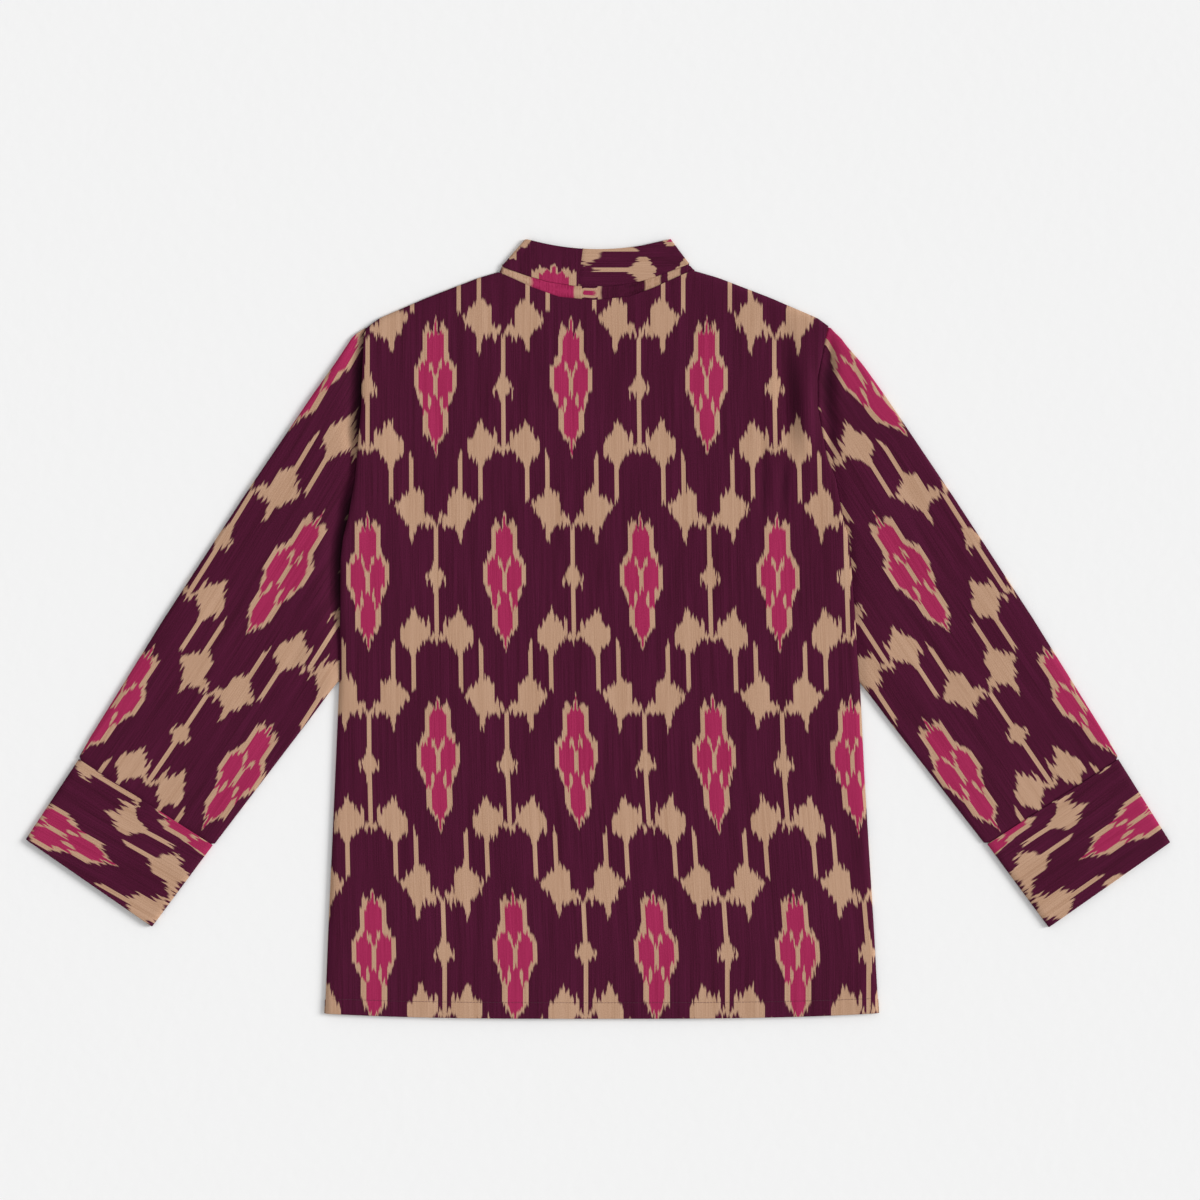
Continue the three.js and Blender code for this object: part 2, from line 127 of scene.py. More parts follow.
REPEAT_ACROSS = 137.0
REPEAT_ALONG = 380.0
MEDALLION_LIFT = 6.5
BUNDLE = 4.28
THREADS = 1.07
SLIP = 9
SLIP_RUN = 0.012
THREAD_SLIP_STEP = 0.83
BUNDLE_SLIP_STEP = 0.71
TIP_LENGTH = 1.9
TIP_SLOPE = 1.6
FEATHER = {"Beige": 0.3, "Rose": 0.34}
WEAVE = 0.9
WEAVE_DEPTH = 0.00006
SLUB = 2.5

# How unevenly the dye took: how fast it changes across and along the threads, and how finely
Streaks = namedtuple("Streaks", "across along detail roughness")
FINE_STREAKS = Streaks(0.9, 0.012, 3.0, 0.7)
BROAD_STREAKS = Streaks(0.11, 0.006, 2.0, 0.5)
SINGLE_THREADS = Streaks(1.9, 1.3, 1.0, 0.5)
BROAD_SHARE = 0.4
SINGLE_SHARE = 1.6
STREAK_CONTRAST = 2.2
STREAK_START = -2.8

Tie = namedtuple("Tie", "off foot head")
NO_TIE = {"foot": 90, "head": -90}

MEDALLION = [
    Tie(0, -71, 66), Tie(2.1, -67, 61), Tie(2.2, -61, 53), Tie(4.2, -59, 52), Tie(6, -56, 59),
    Tie(8.5, -53, 60), Tie(10.6, -50, 56), Tie(12.7, -45, 52), Tie(12.9, -24, 30), Tie(15, -20, 27),
    Tie(17, -15, 22), Tie(17.2, -12, 20), Tie(20, -7, 17), Tie(21.4, -3, 14),
    Tie(21.5, **NO_TIE), Tie(68.5, **NO_TIE),
]
MEDALLION_ROSE = [
    Tie(0, -69, 63), Tie(1.5, -66, 59), Tie(1.6, -58, 52), Tie(4.2, -55, 52), Tie(7.6, -48, 49),
    Tie(7.8, -27, 48), Tie(8.5, -27, 46), Tie(8.6, -27, 24), Tie(12.7, -25, 21), Tie(12.8, -11, 20),
    Tie(17, -7, 14), Tie(17.1, **NO_TIE), Tie(68.5, **NO_TIE),
]
MEDALLION_HEART = [
    Tie(0, -13, 10), Tie(2.1, -13, 10), Tie(2.2, 8, 15), Tie(3.3, 10, 17), Tie(3.4, 12, 22),
    Tie(5.3, 14, 23), Tie(6.4, 16, 21), Tie(6.5, **NO_TIE), Tie(68.5, **NO_TIE),
]
MEDALLION_DASHES = [
    Tie(0, **NO_TIE), Tie(4.1, **NO_TIE), Tie(4.3, -23, -15), Tie(5.4, -25, -12), Tie(7.6, -27, -15),
    Tie(7.7, **NO_TIE), Tie(68.5, **NO_TIE),
]
STEM = [
    Tie(0, -58, 54), Tie(1, -58, 56), Tie(2.4, -58, 62), Tie(2.5, -6, 13), Tie(4.5, -4, 10),
    Tie(6.8, -1, 7), Tie(7.6, 1, 6), Tie(7.7, 8, -2), Tie(8.2, -4, 3), Tie(9.4, -6, 4), Tie(10.4, -3, 3),
    Tie(10.5, **NO_TIE), Tie(68.5, **NO_TIE),
]
LOWER_LOBE = [
    Tie(0, -62, -56), Tie(6.4, -61, -55), Tie(6.5, -58, -41), Tie(9.6, -59, -40), Tie(9.7, -61, -47),
    Tie(11.8, -63, -46), Tie(11.9, -64, -43), Tie(14, -66, -42), Tie(16, -68, -39), Tie(18.2, -70, -37),
    Tie(20.3, -74, -35), Tie(21.4, -76, -31), Tie(21.5, -110, -30), Tie(25.7, -112, -31), Tie(25.8, -74, -36),
    Tie(28, -71, -40), Tie(30, -69, -44), Tie(32.1, -66, -47), Tie(34.2, -66, -48), Tie(36.4, -64, -50),
    Tie(36.5, **NO_TIE), Tie(68.5, **NO_TIE),
]
UPPER_LOBE = [
    Tie(0, **NO_TIE), Tie(1.9, **NO_TIE), Tie(2, 53, 60), Tie(4, 56, 63), Tie(6.8, 58, 66),
    Tie(7, 52, 65), Tie(9.2, 53, 67), Tie(11.6, 56, 66), Tie(11.8, 56, 82), Tie(14, 54, 85),
    Tie(16.5, 55, 88), Tie(20.5, 51, 91), Tie(22.2, 46, 91), Tie(22.4, 38, 121), Tie(24.5, 37, 126),
    Tie(26.6, 44, 129), Tie(26.8, 51, 88), Tie(30.5, 57, 84), Tie(34, 63, 81), Tie(36.9, 68, 78),
    Tie(37.1, 67, 74), Tie(41.2, 71, 78), Tie(41.4, **NO_TIE), Tie(68.5, **NO_TIE),
]


def colour(code):
    """A hex code as the shader's linear colour."""
    parts = [int(code[i:i + 2], 16) / 255 for i in (0, 2, 4)]
    return [p / 12.92 if p <= 0.04045 else ((p + 0.055) / 1.055) ** 2.4 for p in parts] + [1]


def maths(tree, operation, *values):
    """A sum or comparison of sockets and numbers."""
    node = tree.nodes.new("ShaderNodeMath")
    node.operation = operation
    for socket, value in zip(node.inputs, values):
        if isinstance(value, bpy.types.NodeSocket):
            tree.links.new(value, socket)
        else:
            socket.default_value = value
    return node.outputs[0]


def noise(tree, across, along, detail=2.0, roughness=0.5):
    """Uneven values from 0 to 1 over a pair of lengths."""
    pair = tree.nodes.new("ShaderNodeCombineXYZ")
    tree.links.new(across, pair.inputs["X"])
    tree.links.new(along, pair.inputs["Y"])
    node = tree.nodes.new("ShaderNodeTexNoise")
    node.noise_dimensions = "2D"
    node.inputs["Scale"].default_value = 1
    node.inputs["Detail"].default_value = detail
    node.inputs["Roughness"].default_value = roughness
    tree.links.new(pair.outputs[0], node.inputs["Vector"])
    return node.outputs["Fac"]


def blend(tree, share, first, second):
    """Two colours, as sockets or hex codes, mixed by a share."""
    node = tree.nodes.new("ShaderNodeMix")
    node.data_type = "RGBA"
    tree.links.new(share, node.inputs["Factor"])
    for socket, value in ((node.inputs["A"], first), (node.inputs["B"], second)):
        if isinstance(value, str):
            socket.default_value = colour(value)
        else:
            tree.links.new(value, socket)
    return node.outputs["Result"]


def tied_end(tree, off, ties, end):
    """The foot or head of the tied lengths, as a curve over the distance from the motif's middle."""
    node = tree.nodes.new("ShaderNodeFloatCurve")
    line = node.mapping.curves[0]
    places = [(2 * t.off / REPEAT_ACROSS, 0.5 + getattr(t, end) / REPEAT_ALONG) for t in ties]
    line.points[0].location = places[0]
    line.points[1].location = places[-1]
    for spot in places[1:-1]:
        line.points.new(*spot)
    for spot in line.points:
        spot.handle_type = "VECTOR"
    node.mapping.update()
    tree.links.new(maths(tree, "MULTIPLY", off, 2 / REPEAT_ACROSS), node.inputs["Value"])
    return maths(tree, "MULTIPLY_ADD", node.outputs[0], REPEAT_ALONG, -REPEAT_ALONG / 2)


def tied(tree, off, along, ties):
    """How far a place lies inside the tied lengths, in millimetres; less than 0 is outside."""
    over_foot = maths(tree, "SUBTRACT", along, tied_end(tree, off, ties, "foot"))
    under_head = maths(tree, "SUBTRACT", tied_end(tree, off, ties, "head"), along)
    return maths(tree, "MINIMUM", over_foot, under_head)


def motif_row():
    """One row of medallions, stems and lobes, which repeats both ways."""
    tree = bpy.data.node_groups.new("motif_row", "ShaderNodeTree")
    for side in ("Across", "Along", "Lift"):
        tree.interface.new_socket(side, in_out="INPUT", socket_type="NodeSocketFloat")
    for dye in ("Beige", "Rose"):
        tree.interface.new_socket(dye, in_out="OUTPUT", socket_type="NodeSocketFloat")
    start = tree.nodes.new("NodeGroupInput")
    finish = tree.nodes.new("NodeGroupOutput")
    from_medallion = maths(tree, "PINGPONG", start.outputs["Across"], REPEAT_ACROSS / 2)
    from_stem = maths(tree, "SUBTRACT", REPEAT_ACROSS / 2, from_medallion)
    along = maths(tree, "WRAP", start.outputs["Along"], REPEAT_ALONG / 2, -REPEAT_ALONG / 2)
    on_medallion = maths(tree, "SUBTRACT", along, start.outputs["Lift"])
    shapes = [
        tied(tree, from_medallion, on_medallion, MEDALLION),
        tied(tree, from_stem, along, STEM),
        tied(tree, from_stem, along, LOWER_LOBE),
        tied(tree, from_stem, along, UPPER_LOBE),
    ]
    beige = shapes[0]
    for shape in shapes[1:]:
        beige = maths(tree, "MAXIMUM", beige, shape)
    rose = tied(tree, from_medallion, on_medallion, MEDALLION_ROSE)
    for shape in (MEDALLION_HEART, MEDALLION_DASHES):
        undyed = maths(tree, "MULTIPLY", tied(tree, from_medallion, on_medallion, shape), -1)
        rose = maths(tree, "MINIMUM", rose, undyed)
    tree.links.new(beige, finish.inputs["Beige"])
    tree.links.new(rose, finish.inputs["Rose"])
    return tree


def ikat_cotton():
    """The dyed and woven cloth. Its warp map holds each place's distance across and along the warp,
    and an attribute on it says how much shade is painted into its colour at each place."""
    material = bpy.data.materials.new("ikat_cotton")
    material.use_nodes = True
    tree = material.node_tree
    surface = tree.nodes["Principled BSDF"]
    warp = tree.nodes.new("ShaderNodeAttribute")
    warp.attribute_name = "warp"
    split = tree.nodes.new("ShaderNodeSeparateXYZ")
    tree.links.new(warp.outputs["Vector"], split.inputs[0])
    across = maths(tree, "MULTIPLY", split.outputs["X"], 1000)
    along = maths(tree, "MULTIPLY", split.outputs["Y"], 1000)

    column = maths(tree, "FLOOR", maths(tree, "DIVIDE", across, THREADS))
    column = maths(tree, "MULTIPLY_ADD", column, THREADS, THREADS / 2)
    bundle = maths(tree, "FLOOR", maths(tree, "DIVIDE", across, BUNDLE / 2))
    slow = maths(tree, "MULTIPLY", along, SLIP_RUN)
    slip = noise(tree, maths(tree, "MULTIPLY", column, THREAD_SLIP_STEP), slow, 0.0)
    bundle_slip = noise(tree, maths(tree, "MULTIPLY", bundle, BUNDLE_SLIP_STEP), slow, 0.0)
    slips = maths(tree, "MULTIPLY_ADD", slip, SLIP, maths(tree, "MULTIPLY_ADD", bundle_slip, SLIP, -SLIP))
    slipped = maths(tree, "ADD", along, slips)
    from_edge = maths(tree, "PINGPONG", across, BUNDLE / 2)
    tip = maths(tree, "MULTIPLY_ADD", from_edge, -TIP_SLOPE, TIP_LENGTH)

    row = motif_row()
    found = []
    for shift_across, shift_along, lift in ((0, REPEAT_ALONG / 2, MEDALLION_LIFT), (REPEAT_ACROSS / 2, 0, 0)):
        group = tree.nodes.new("ShaderNodeGroup")
        group.node_tree = row
        tree.links.new(maths(tree, "SUBTRACT", column, shift_across), group.inputs["Across"])
        tree.links.new(maths(tree, "SUBTRACT", slipped, shift_along), group.inputs["Along"])
        group.inputs["Lift"].default_value = lift
        found.append(group)
    shares = {}
    for dye, softness in FEATHER.items():
        inside = maths(tree, "MAXIMUM", found[0].outputs[dye], found[1].outputs[dye])
        soft = maths(tree, "MULTIPLY_ADD", maths(tree, "ADD", inside, tip), softness, 0.5)
        soft.node.use_clamp = True
        shares[dye] = soft

    fine, broad, single = (
        noise(tree, maths(tree, "MULTIPLY", across, rate.across), maths(tree, "MULTIPLY", along, rate.along),
              rate.detail, rate.roughness)
        for rate in (FINE_STREAKS, BROAD_STREAKS, SINGLE_THREADS)
    )
    uneven = maths(tree, "MULTIPLY_ADD", broad, BROAD_SHARE, fine)
    uneven = maths(tree, "MULTIPLY_ADD", single, SINGLE_SHARE, uneven)
    streak = maths(tree, "MULTIPLY_ADD", uneven, STREAK_CONTRAST, STREAK_START)
    streak.node.use_clamp = True
    ground = blend(tree, streak, AUBERGINE, AUBERGINE_STREAK)
    pale = blend(tree, streak, BEIGE, BEIGE_STREAK)
    bright = blend(tree, streak, ROSE, ROSE_STREAK)
    dyed = blend(tree, shares["Rose"], blend(tree, shares["Beige"], ground, pale), bright)
    # Painted shade: the colour is darkened towards near-black where the attribute is set, in the valleys and
    # creases where shade falls
    deep = tree.nodes.new("ShaderNodeAttribute")
    deep.attribute_name = "painted_shade"
    tree.links.new(blend(tree, deep.outputs["Fac"], dyed, PAINTED_SHADE_COLOUR), surface.inputs["Base Color"])

    over = maths(tree, "SINE", maths(tree, "MULTIPLY", across, math.tau / WEAVE))
    under = maths(tree, "SINE", maths(tree, "MULTIPLY", along, math.tau / WEAVE))
    weave = maths(tree, "MULTIPLY", over, under)
    slub = maths(tree, "MULTIPLY_ADD", fine, SLUB, weave)
    woven = tree.nodes.new("ShaderNodeBump")
    woven.inputs["Distance"].default_value = WEAVE_DEPTH
    woven.inputs["Strength"].default_value = 0.8
    tree.links.new(slub, woven.inputs["Height"])
    tree.links.new(woven.outputs["Normal"], surface.inputs["Normal"])
    surface.inputs["Roughness"].default_value = 0.86
    surface.inputs["Specular IOR Level"].default_value = 0.09
    return material


cotton = ikat_cotton()

# Back panel: one width of the cloth from the hem to the shoulders, with its hem turned up and
# stitched. It lies on top, its sides curving down to the side seams and its neck hollowed.
# Sizes are in millimetres from the lowest point of the hem and the centre back, as it was cut.
CLOTH = 0.5
FOLD_RADIUS = 0.6
BODY_TOP = 5.3
NECK_TOP = 4.4
FOLD_OVER = 7.0
HEM_HALF_WIDTH = 270
HEM_RISE = 5
HEM_TURNING = 16
UNDERARM = 337
SHOULDER_TIP = 691.5
NECK_MIDDLE = -5
NECK_LEFT_END = -99
NECK_RIGHT_END = 96
SPACING = 4.0
PANEL_COLUMNS = 122
PANEL_MIDDLE = (60, 60)
HEM_STEP = 0.3
STITCH_GROOVE = 0.35
STITCH_GROOVE_WIDTH = 0.8
PUCKER = 0.12
NECK_SINKS = (600, 715)

# The two sides and the height of their edges, by the height above the hem
Side = namedtuple("Side", "y left right edge")
SIDE = [
    Side(0, -273.5, 280, 1.7), Side(80, -270.5, 276, 1.7), Side(240, -263.3, 266, 1.7),
    Side(337, -259.1, 261.3, 1.7), Side(410, -258.3, 256, 2.2), Side(460, -257.8, 252, 2.6),
    Side(480, -255.5, 250, 2.7), Side(500, -250.5, 244.5, 2.8), Side(540, -243.2, 237, 3.0),
    Side(560, -241.8, 228.5, 3.2), Side(610, -237.3, 219.3, 3.4), Side(640, -236.7, 219, 3.4),
    Side(684.5, -234.5, 228, 2.8), Side(691.5, -231, 230, 1.7),
]
Seam = namedtuple("Seam", "x y")
SHOULDER = [Seam(98, 747), Seam(120, 740.5), Seam(172, 720.5), Seam(219, 700.2), Seam(231, 691.5)]
NECK_SEAM = [
    Seam(0, 718.3), Seam(35, 721.6), Seam(61, 731), Seam(81, 740.2), Seam(94, 746), Seam(101, 747.6),
]
# Where the rows of motifs lie: their height, the middle of one motif, how far they spread, and
# their place along the warp
MotifRow = namedtuple("MotifRow", "y middle spread along")
BODY_ROWS = [
    MotifRow(63.5, -12.5, 1.031, 0), MotifRow(251.5, -22, 1.007, 190),
    MotifRow(438.5, -25.5, 0.998, 380), MotifRow(628, -27.5, 0.989, 570),
]
# Broad low swells where the cloth stands off the layer below
Swell = namedtuple("Swell", "x y wide long height")
BACK_SWELLS = [
    Swell(-190, 560, 60, 150, 0.5), Swell(-246, 555, 42, 125, 3.6), Swell(175, 580, 60, 140, 0.6),
    Swell(0, 610, 110, 90, -0.4), Swell(-90, 300, 90, 240, 0.4), Swell(130, 260, 80, 220, 0.4),
    Swell(20, 120, 60, 160, -0.5),
]
# Soft creases: from one place to another, half width and depth
Crease = namedtuple("Crease", "x1 y1 x2 y2 wide deep")
BACK_CREASES = [
    Crease(207, 675, 209, 556, 8.5, 5.0), Crease(184, 690, 187, 566, 7.5, -3.6),
    Crease(166, 578, 164.5, 496, 3.5, -2.2), Crease(185.5, 566, 184, 506, 3.5, -2.4),
    Crease(176, 640, 172, 590, 6, 0.5), Crease(190, 696, 192, 652, 5, -1.2),
    Crease(-222, 640, -214, 560, 9, 0.6), Crease(-205, 560, -232, 470, 10, -0.5),
    Crease(228, 520, 205, 430, 10, -0.5), Crease(245, 400, 238, 250, 9, 0.45),
    Crease(-246, 390, -243, 230, 9, 0.45), Crease(-120, 700, -150, 610, 14, 0.4),
    Crease(118, 700, 140, 620, 12, 0.4), Crease(-60, 500, -35, 300, 16, -0.35),
    Crease(85, 420, 92, 200, 14, 0.35), Crease(-170, 250, -176, 60, 12, 0.4),
    Crease(180, 180, 186, 40, 11, -0.4), Crease(15, 240, 12, 80, 15, 0.35),
]
# Where shade is painted into the cloth's colour in the creases by the right shoulder, with how much as the
# depth
BACK_PAINTED_SHADE = [
    Crease(192, 692, 199, 566, 5.5, 0.36), Crease(166.5, 580, 164.5, 494, 2.4, 0.3),
    Crease(187, 562, 185, 500, 3, 0.3),
]


def look_up(table, value, column, by="y"):
    return np.interp(value, [getattr(row, by) for row in table], [getattr(row, column) for row in table])


def smooth_step(value, start, end):
    share = np.clip((value - start) / (end - start), 0, 1)
    return share * share * (3 - 2 * share)


def relief(x, y, creases):
    """The height of soft creases, each fading out at its two ends."""
    height = np.zeros_like(x)
    for c in creases:
        run = np.array([c.x2 - c.x1, c.y2 - c.y1])
        share = np.clip(((x - c.x1) * run[0] + (y - c.y1) * run[1]) / run.dot(run), 0, 1)
        away = np.hypot(x - c.x1 - share * run[0], y - c.y1 - share * run[1])
        height += c.deep * np.exp(-(away / c.wide) ** 2) * np.sin(np.pi * np.clip(share, 0.06, 0.94))
    return height


def swell(x, y, swells):
    height = np.zeros_like(x)
    for s in swells:
        height += s.height * np.exp(-((x - s.x) / s.wide) ** 2 - ((y - s.y) / s.long) ** 2)
    return height


def turned_edge(distance, radius=FOLD_RADIUS):
    """Cloth that turns back under itself: how far in from the fold it lies, and how far below its
    outer face, by the distance along the cloth from the fold. Less than 0 is the turned part."""
    turn = np.clip(distance / radius, -math.pi / 2, math.pi / 2)
    beyond = np.abs(distance) - radius * np.abs(turn)
    return radius * (1 - np.cos(turn)) + beyond, radius * (1 - np.sin(turn))


def body_warp(x, y):
    """The place of each point across and along the warp of a body panel."""
    middle = look_up(BODY_ROWS, y, "middle")
    spread = look_up(BODY_ROWS, y, "spread")
    first, last = BODY_ROWS[0], BODY_ROWS[-1]
    along = look_up(BODY_ROWS, y, "along") + np.minimum(y - first.y, 0) + np.maximum(y - last.y, 0)
    return np.stack([(x - middle) / spread, along], axis=-1)


cloth_start = Vector((0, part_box("back")[0][1], 0))


def place_in_frame(points):
    """From the garment's own millimetres to the frame's metres."""
    return points / 1000 + np.array(cloth_start)


def lay_cloth(name, points, warp, up_at, outer_up=True, closed=False, cut_out=None,
              thickness=CLOTH, deep=None):
    """Cloth through rows of points, with its outer face up or down at a named row and column. A closed
    piece is joined into a tube. Cloth in the cut-out is taken away, and the rest gets its thickness.
    Deep is how much painted shade darkens the colour at each point, in the valleys beside the seams."""
    rows, columns = points.shape[:2]
    here = points[up_at]
    across = points[up_at[0], up_at[1] + 1] - here
    along = points[up_at[0] + 1, up_at[1]] - here
    if (across[0] * along[1] > across[1] * along[0]) != outer_up:
        points, warp = points[:, ::-1], warp[:, ::-1]
        deep = None if deep is None else deep[:, ::-1]
    bpy.ops.object.select_all(action="DESELECT")
    bpy.ops.mesh.primitive_grid_add(x_subdivisions=columns - 1, y_subdivisions=rows - 1, size=2)
    cloth = bpy.context.object
    cloth.name = name
    mesh = cloth.data
    start = np.empty(3 * len(mesh.vertices))
    mesh.vertices.foreach_get("co", start)
    start = start.reshape(-1, 3)
    column = np.rint((start[:, 0] + 1) / 2 * (columns - 1)).astype(int)
    row = np.rint((start[:, 1] + 1) / 2 * (rows - 1)).astype(int)
    mesh.vertices.foreach_set("co", place_in_frame(points[row, column]).ravel())
    corner = np.empty(len(mesh.loops), dtype=int)
    mesh.loops.foreach_get("vertex_index", corner)
    while mesh.uv_layers:
        mesh.uv_layers.remove(mesh.uv_layers[0])
    layer = mesh.uv_layers.new(name="warp")
    layer.uv.foreach_set("vector", (warp[row, column][corner] / 1000).ravel())
    # The painted shade is kept as an attribute on the points
    if deep is not None:
        mesh.attributes.new("painted_shade", "FLOAT", "POINT").data.foreach_set("value", deep[row, column])
    mesh.update()
    if cut_out is not None:
        bpy.ops.object.mode_set(mode="EDIT")
        bpy.ops.mesh.select_all(action="DESELECT")
        bpy.ops.mesh.select_mode(type="FACE")
        bpy.ops.object.mode_set(mode="OBJECT")
        for face in mesh.polygons:
            face.select = cut_out(*(1000 * (face.center - cloth_start)))
        bpy.ops.object.mode_set(mode="EDIT")
        bpy.ops.mesh.delete(type="FACE")
        bpy.ops.object.mode_set(mode="OBJECT")
    if closed:
        bpy.ops.object.mode_set(mode="EDIT")
        bpy.ops.mesh.select_all(action="SELECT")
        bpy.ops.mesh.remove_doubles(threshold=0.000001)
        bpy.ops.object.mode_set(mode="OBJECT")
    if thickness:
        bpy.ops.object.modifier_add(type="SOLIDIFY")
        wall = cloth.modifiers[-1]
        wall.thickness = thickness / 1000
        wall.offset = -1
        bpy.ops.object.modifier_apply(modifier=wall.name)
    bpy.ops.object.shade_smooth()
    mesh.materials.append(cotton)
    return cloth


# The hem's stitches: a plum cotton thread, whose crests stand just out of the cloth
STITCH = 3.2
THREAD_COLOUR = "45192b"
THREAD_THICKNESS = 0.34
STITCH_RISE = 0.02
STITCH_WAVE = 0.2
POINTS_IN_STITCH = 7

thread = bpy.data.materials.new("sewing_thread")
thread.use_nodes = True
spun = thread.node_tree.nodes["Principled BSDF"]
spun.inputs["Base Color"].default_value = colour(THREAD_COLOUR)
spun.inputs["Roughness"].default_value = 0.7


def sew(name, line, outward):
    """A running stitch: one thread along a line, which goes over and under the cloth."""
    length = np.concatenate([[0], np.cumsum(np.linalg.norm(np.diff(line, axis=0), axis=-1))])
    at = np.arange(0, length[-1], STITCH / POINTS_IN_STITCH)
    middle = np.stack([np.interp(at, length, line[:, axis]) for axis in range(3)], axis=-1)
    middle[:, 2] += outward * (STITCH_RISE + STITCH_WAVE * np.sin(math.tau * at / STITCH))
    run = np.gradient(middle[:, :2], axis=0)
    run /= np.linalg.norm(run, axis=-1, keepdims=True)
    radius = THREAD_THICKNESS / 2 * (np.minimum(at, at[::-1]) > 0)
    turn = np.linspace(0, math.tau, 7)[None, :, None]
    aside = np.stack([-run[:, 1], run[:, 0], 0 * at], axis=-1)[:, None, :]
    round_it = np.cos(turn) * aside + np.sin(turn) * np.array([0, 0, 1])
    places = middle[:, None, :] + radius[:, None, None] * round_it
    stitches = lay_cloth(name, places, places[..., :2], (5, 1), closed=True, thickness=0)
    stitches.data.materials[0] = thread
    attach(stitches, "root")
    return stitches


def panel_points(top_line, fold, rows_up, edge_fold, middle_columns):
    """Places of a body panel's rows and columns, and how far each has risen from the panel's edges."""
    turns = np.radians(np.arange(0, 91, 11.25))
    inward = edge_fold * (1 - np.cos(turns))
    y = np.concatenate([rows_up, SHOULDER_TIP - fold * (1 - np.cos(turns))[::-1]])
    left = look_up(SIDE, y, "left")[:, None]
    right = look_up(SIDE, y, "right")[:, None]
    share = np.linspace(0, 1, middle_columns)[1:-1]
    inner = left + edge_fold + share * (right - left - 2 * edge_fold)
    x = np.hstack([left + inward, inner, right - inward[::-1]])
    rise_across = np.concatenate([np.sin(turns), np.ones(len(share)), np.sin(turns)[::-1]])
    rise_along = np.concatenate([np.ones(len(rows_up)), np.sin(turns)[::-1]])
    top = top_line(x[-1])
    y = y[:, None]
    lift = (top - SHOULDER_TIP) * smooth_step(y, 0, SHOULDER_TIP - FOLD_OVER)
    hem = HEM_RISE * np.abs(x / HEM_HALF_WIDTH) ** 3 * smooth_step(-y, -60, 0)
    return x, y + lift + hem, rise_across[None, :], rise_along[:, None]


def neck_seam(x):
    return look_up(NECK_SEAM, np.abs(x - NECK_MIDDLE), "y", by="x")


def back_top(x):
    in_neck = (x > NECK_LEFT_END) & (x < NECK_RIGHT_END)
    return np.where(in_neck, neck_seam(x), look_up(SHOULDER, np.abs(x), "y", by="x"))


def hem_rows():
    """Distances up from the hem's fold, with close rows round the fold and along the stitches, and
    the rows of the turned-up cloth first."""
    fold = np.radians(np.arange(-90, 91, 22.5)) * FOLD_RADIUS
    stitches = HEM_TURNING + np.array([-2.6, -1.4, -0.7, -0.3, 0, 0.3, 0.7, 1.4, 2.6])
    plain = np.arange(HEM_TURNING + 6, SHOULDER_TIP - FOLD_OVER - 2, SPACING)
    return np.concatenate([[-15, -11, -7, -3.5], fold, [3, 6.5, 10], stitches, plain])


def stitched_groove(up):
    return STITCH_GROOVE * np.exp(-((up - HEM_TURNING) / STITCH_GROOVE_WIDTH) ** 2)


def hem_relief(x, up):
    """The step, the stitched groove and the small puckers of the turned-up hem."""
    height = HEM_STEP * smooth_step(-up, -HEM_TURNING - 1.5, -HEM_TURNING + 0.5)
    height = height - stitched_groove(up)
    return height + PUCKER * np.sin(x / 3.1 + np.sin(x / 17)) * np.exp(-((up - 9) / 7) ** 2)


rows_up = hem_rows()
rows_laid = np.where(rows_up < HEM_TURNING, turned_edge(rows_up)[0], rows_up)
x, y, across_rise, along_rise = panel_points(back_top, FOLD_OVER, rows_laid, FOLD_OVER, PANEL_COLUMNS)
up = np.concatenate([rows_up, np.full(len(y) - len(rows_up), SHOULDER_TIP)])[:, None]
drop = np.where(up < HEM_TURNING, turned_edge(up)[1], 0)
height = BODY_TOP + swell(x, y, BACK_SWELLS) + relief(x, y, BACK_CREASES)
sunk = smooth_step(y, *NECK_SINKS) * (0.6 + 0.4 * smooth_step(-np.abs(x), -120, -100))
height += (NECK_TOP - height) * sunk + hem_relief(x, up)
in_neck = smooth_step(np.minimum(x[-1] - NECK_LEFT_END, NECK_RIGHT_END - x[-1]), -5, 4)
edge = look_up(SIDE, up, "edge")
steep = across_rise ** (1 - 0.6 * smooth_step(y, UNDERARM + 30, UNDERARM + 80))
z = edge + (height - edge) * steep * (in_neck + (1 - in_neck) * along_rise) - drop
back = lay_cloth(
    "back_cloth", np.stack([x, y, z], axis=-1), body_warp(x, y), PANEL_MIDDLE,
    deep=relief(x, y, BACK_PAINTED_SHADE),
)
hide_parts("back")
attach(back, "root")
stitched = np.flatnonzero(rows_up == HEM_TURNING)[0]
hem_stitches = sew("back_hem_stitches", np.stack([x, y, z], axis=-1)[stitched, 8:-8], 1)

# Front panel: a second width of the cloth, face down on the table, with a scooped neck and a slit
# down its middle. Its sides and shoulders turn up to the back's, and its hem is turned and stitched.
FRONT_FOLD = 2.5
FRONT_NECK_DEPTH = 672
NECK_FALL = 45
NECK_FALL_ANGLE = math.radians(50)
NECK_SWEEP = 45
BAND_FOLD_FOOT = {"left": (-96.5, 752.6), "right": (90.5, 755)}
BAND_FOLD_TOP = {"left": (-73.5, 779), "right": (72, 779.8)}
SLIT_HALF_WIDTH = 12.5
SLIT_FOOT = 420
SLIT_REACH = 8


def front_neck(side, count=60):
    """Points down the front neck, from the shoulder to the slit."""
    sign = -1 if side == "left" else 1
    start = np.array(BAND_FOLD_FOOT[side])
    fall = start - NECK_FALL * np.array([sign * math.cos(NECK_FALL_ANGLE), math.sin(NECK_FALL_ANGLE)])
    sweep = np.array([sign * NECK_SWEEP, FRONT_NECK_DEPTH])
    end = np.array([0, FRONT_NECK_DEPTH])
    t = np.linspace(0, 1, count)[:, None]
    return (1 - t) ** 3 * start + 3 * t * (1 - t) ** 2 * fall + 3 * t * t * (1 - t) * sweep + t ** 3 * end


def front_top(x):
    line = np.vstack([front_neck("left"), front_neck("right")[::-1]])
    in_neck = (x > line[0, 0]) & (x < line[-1, 0])
    return np.where(in_neck, np.interp(x, line[:, 0], line[:, 1]), back_top(x))


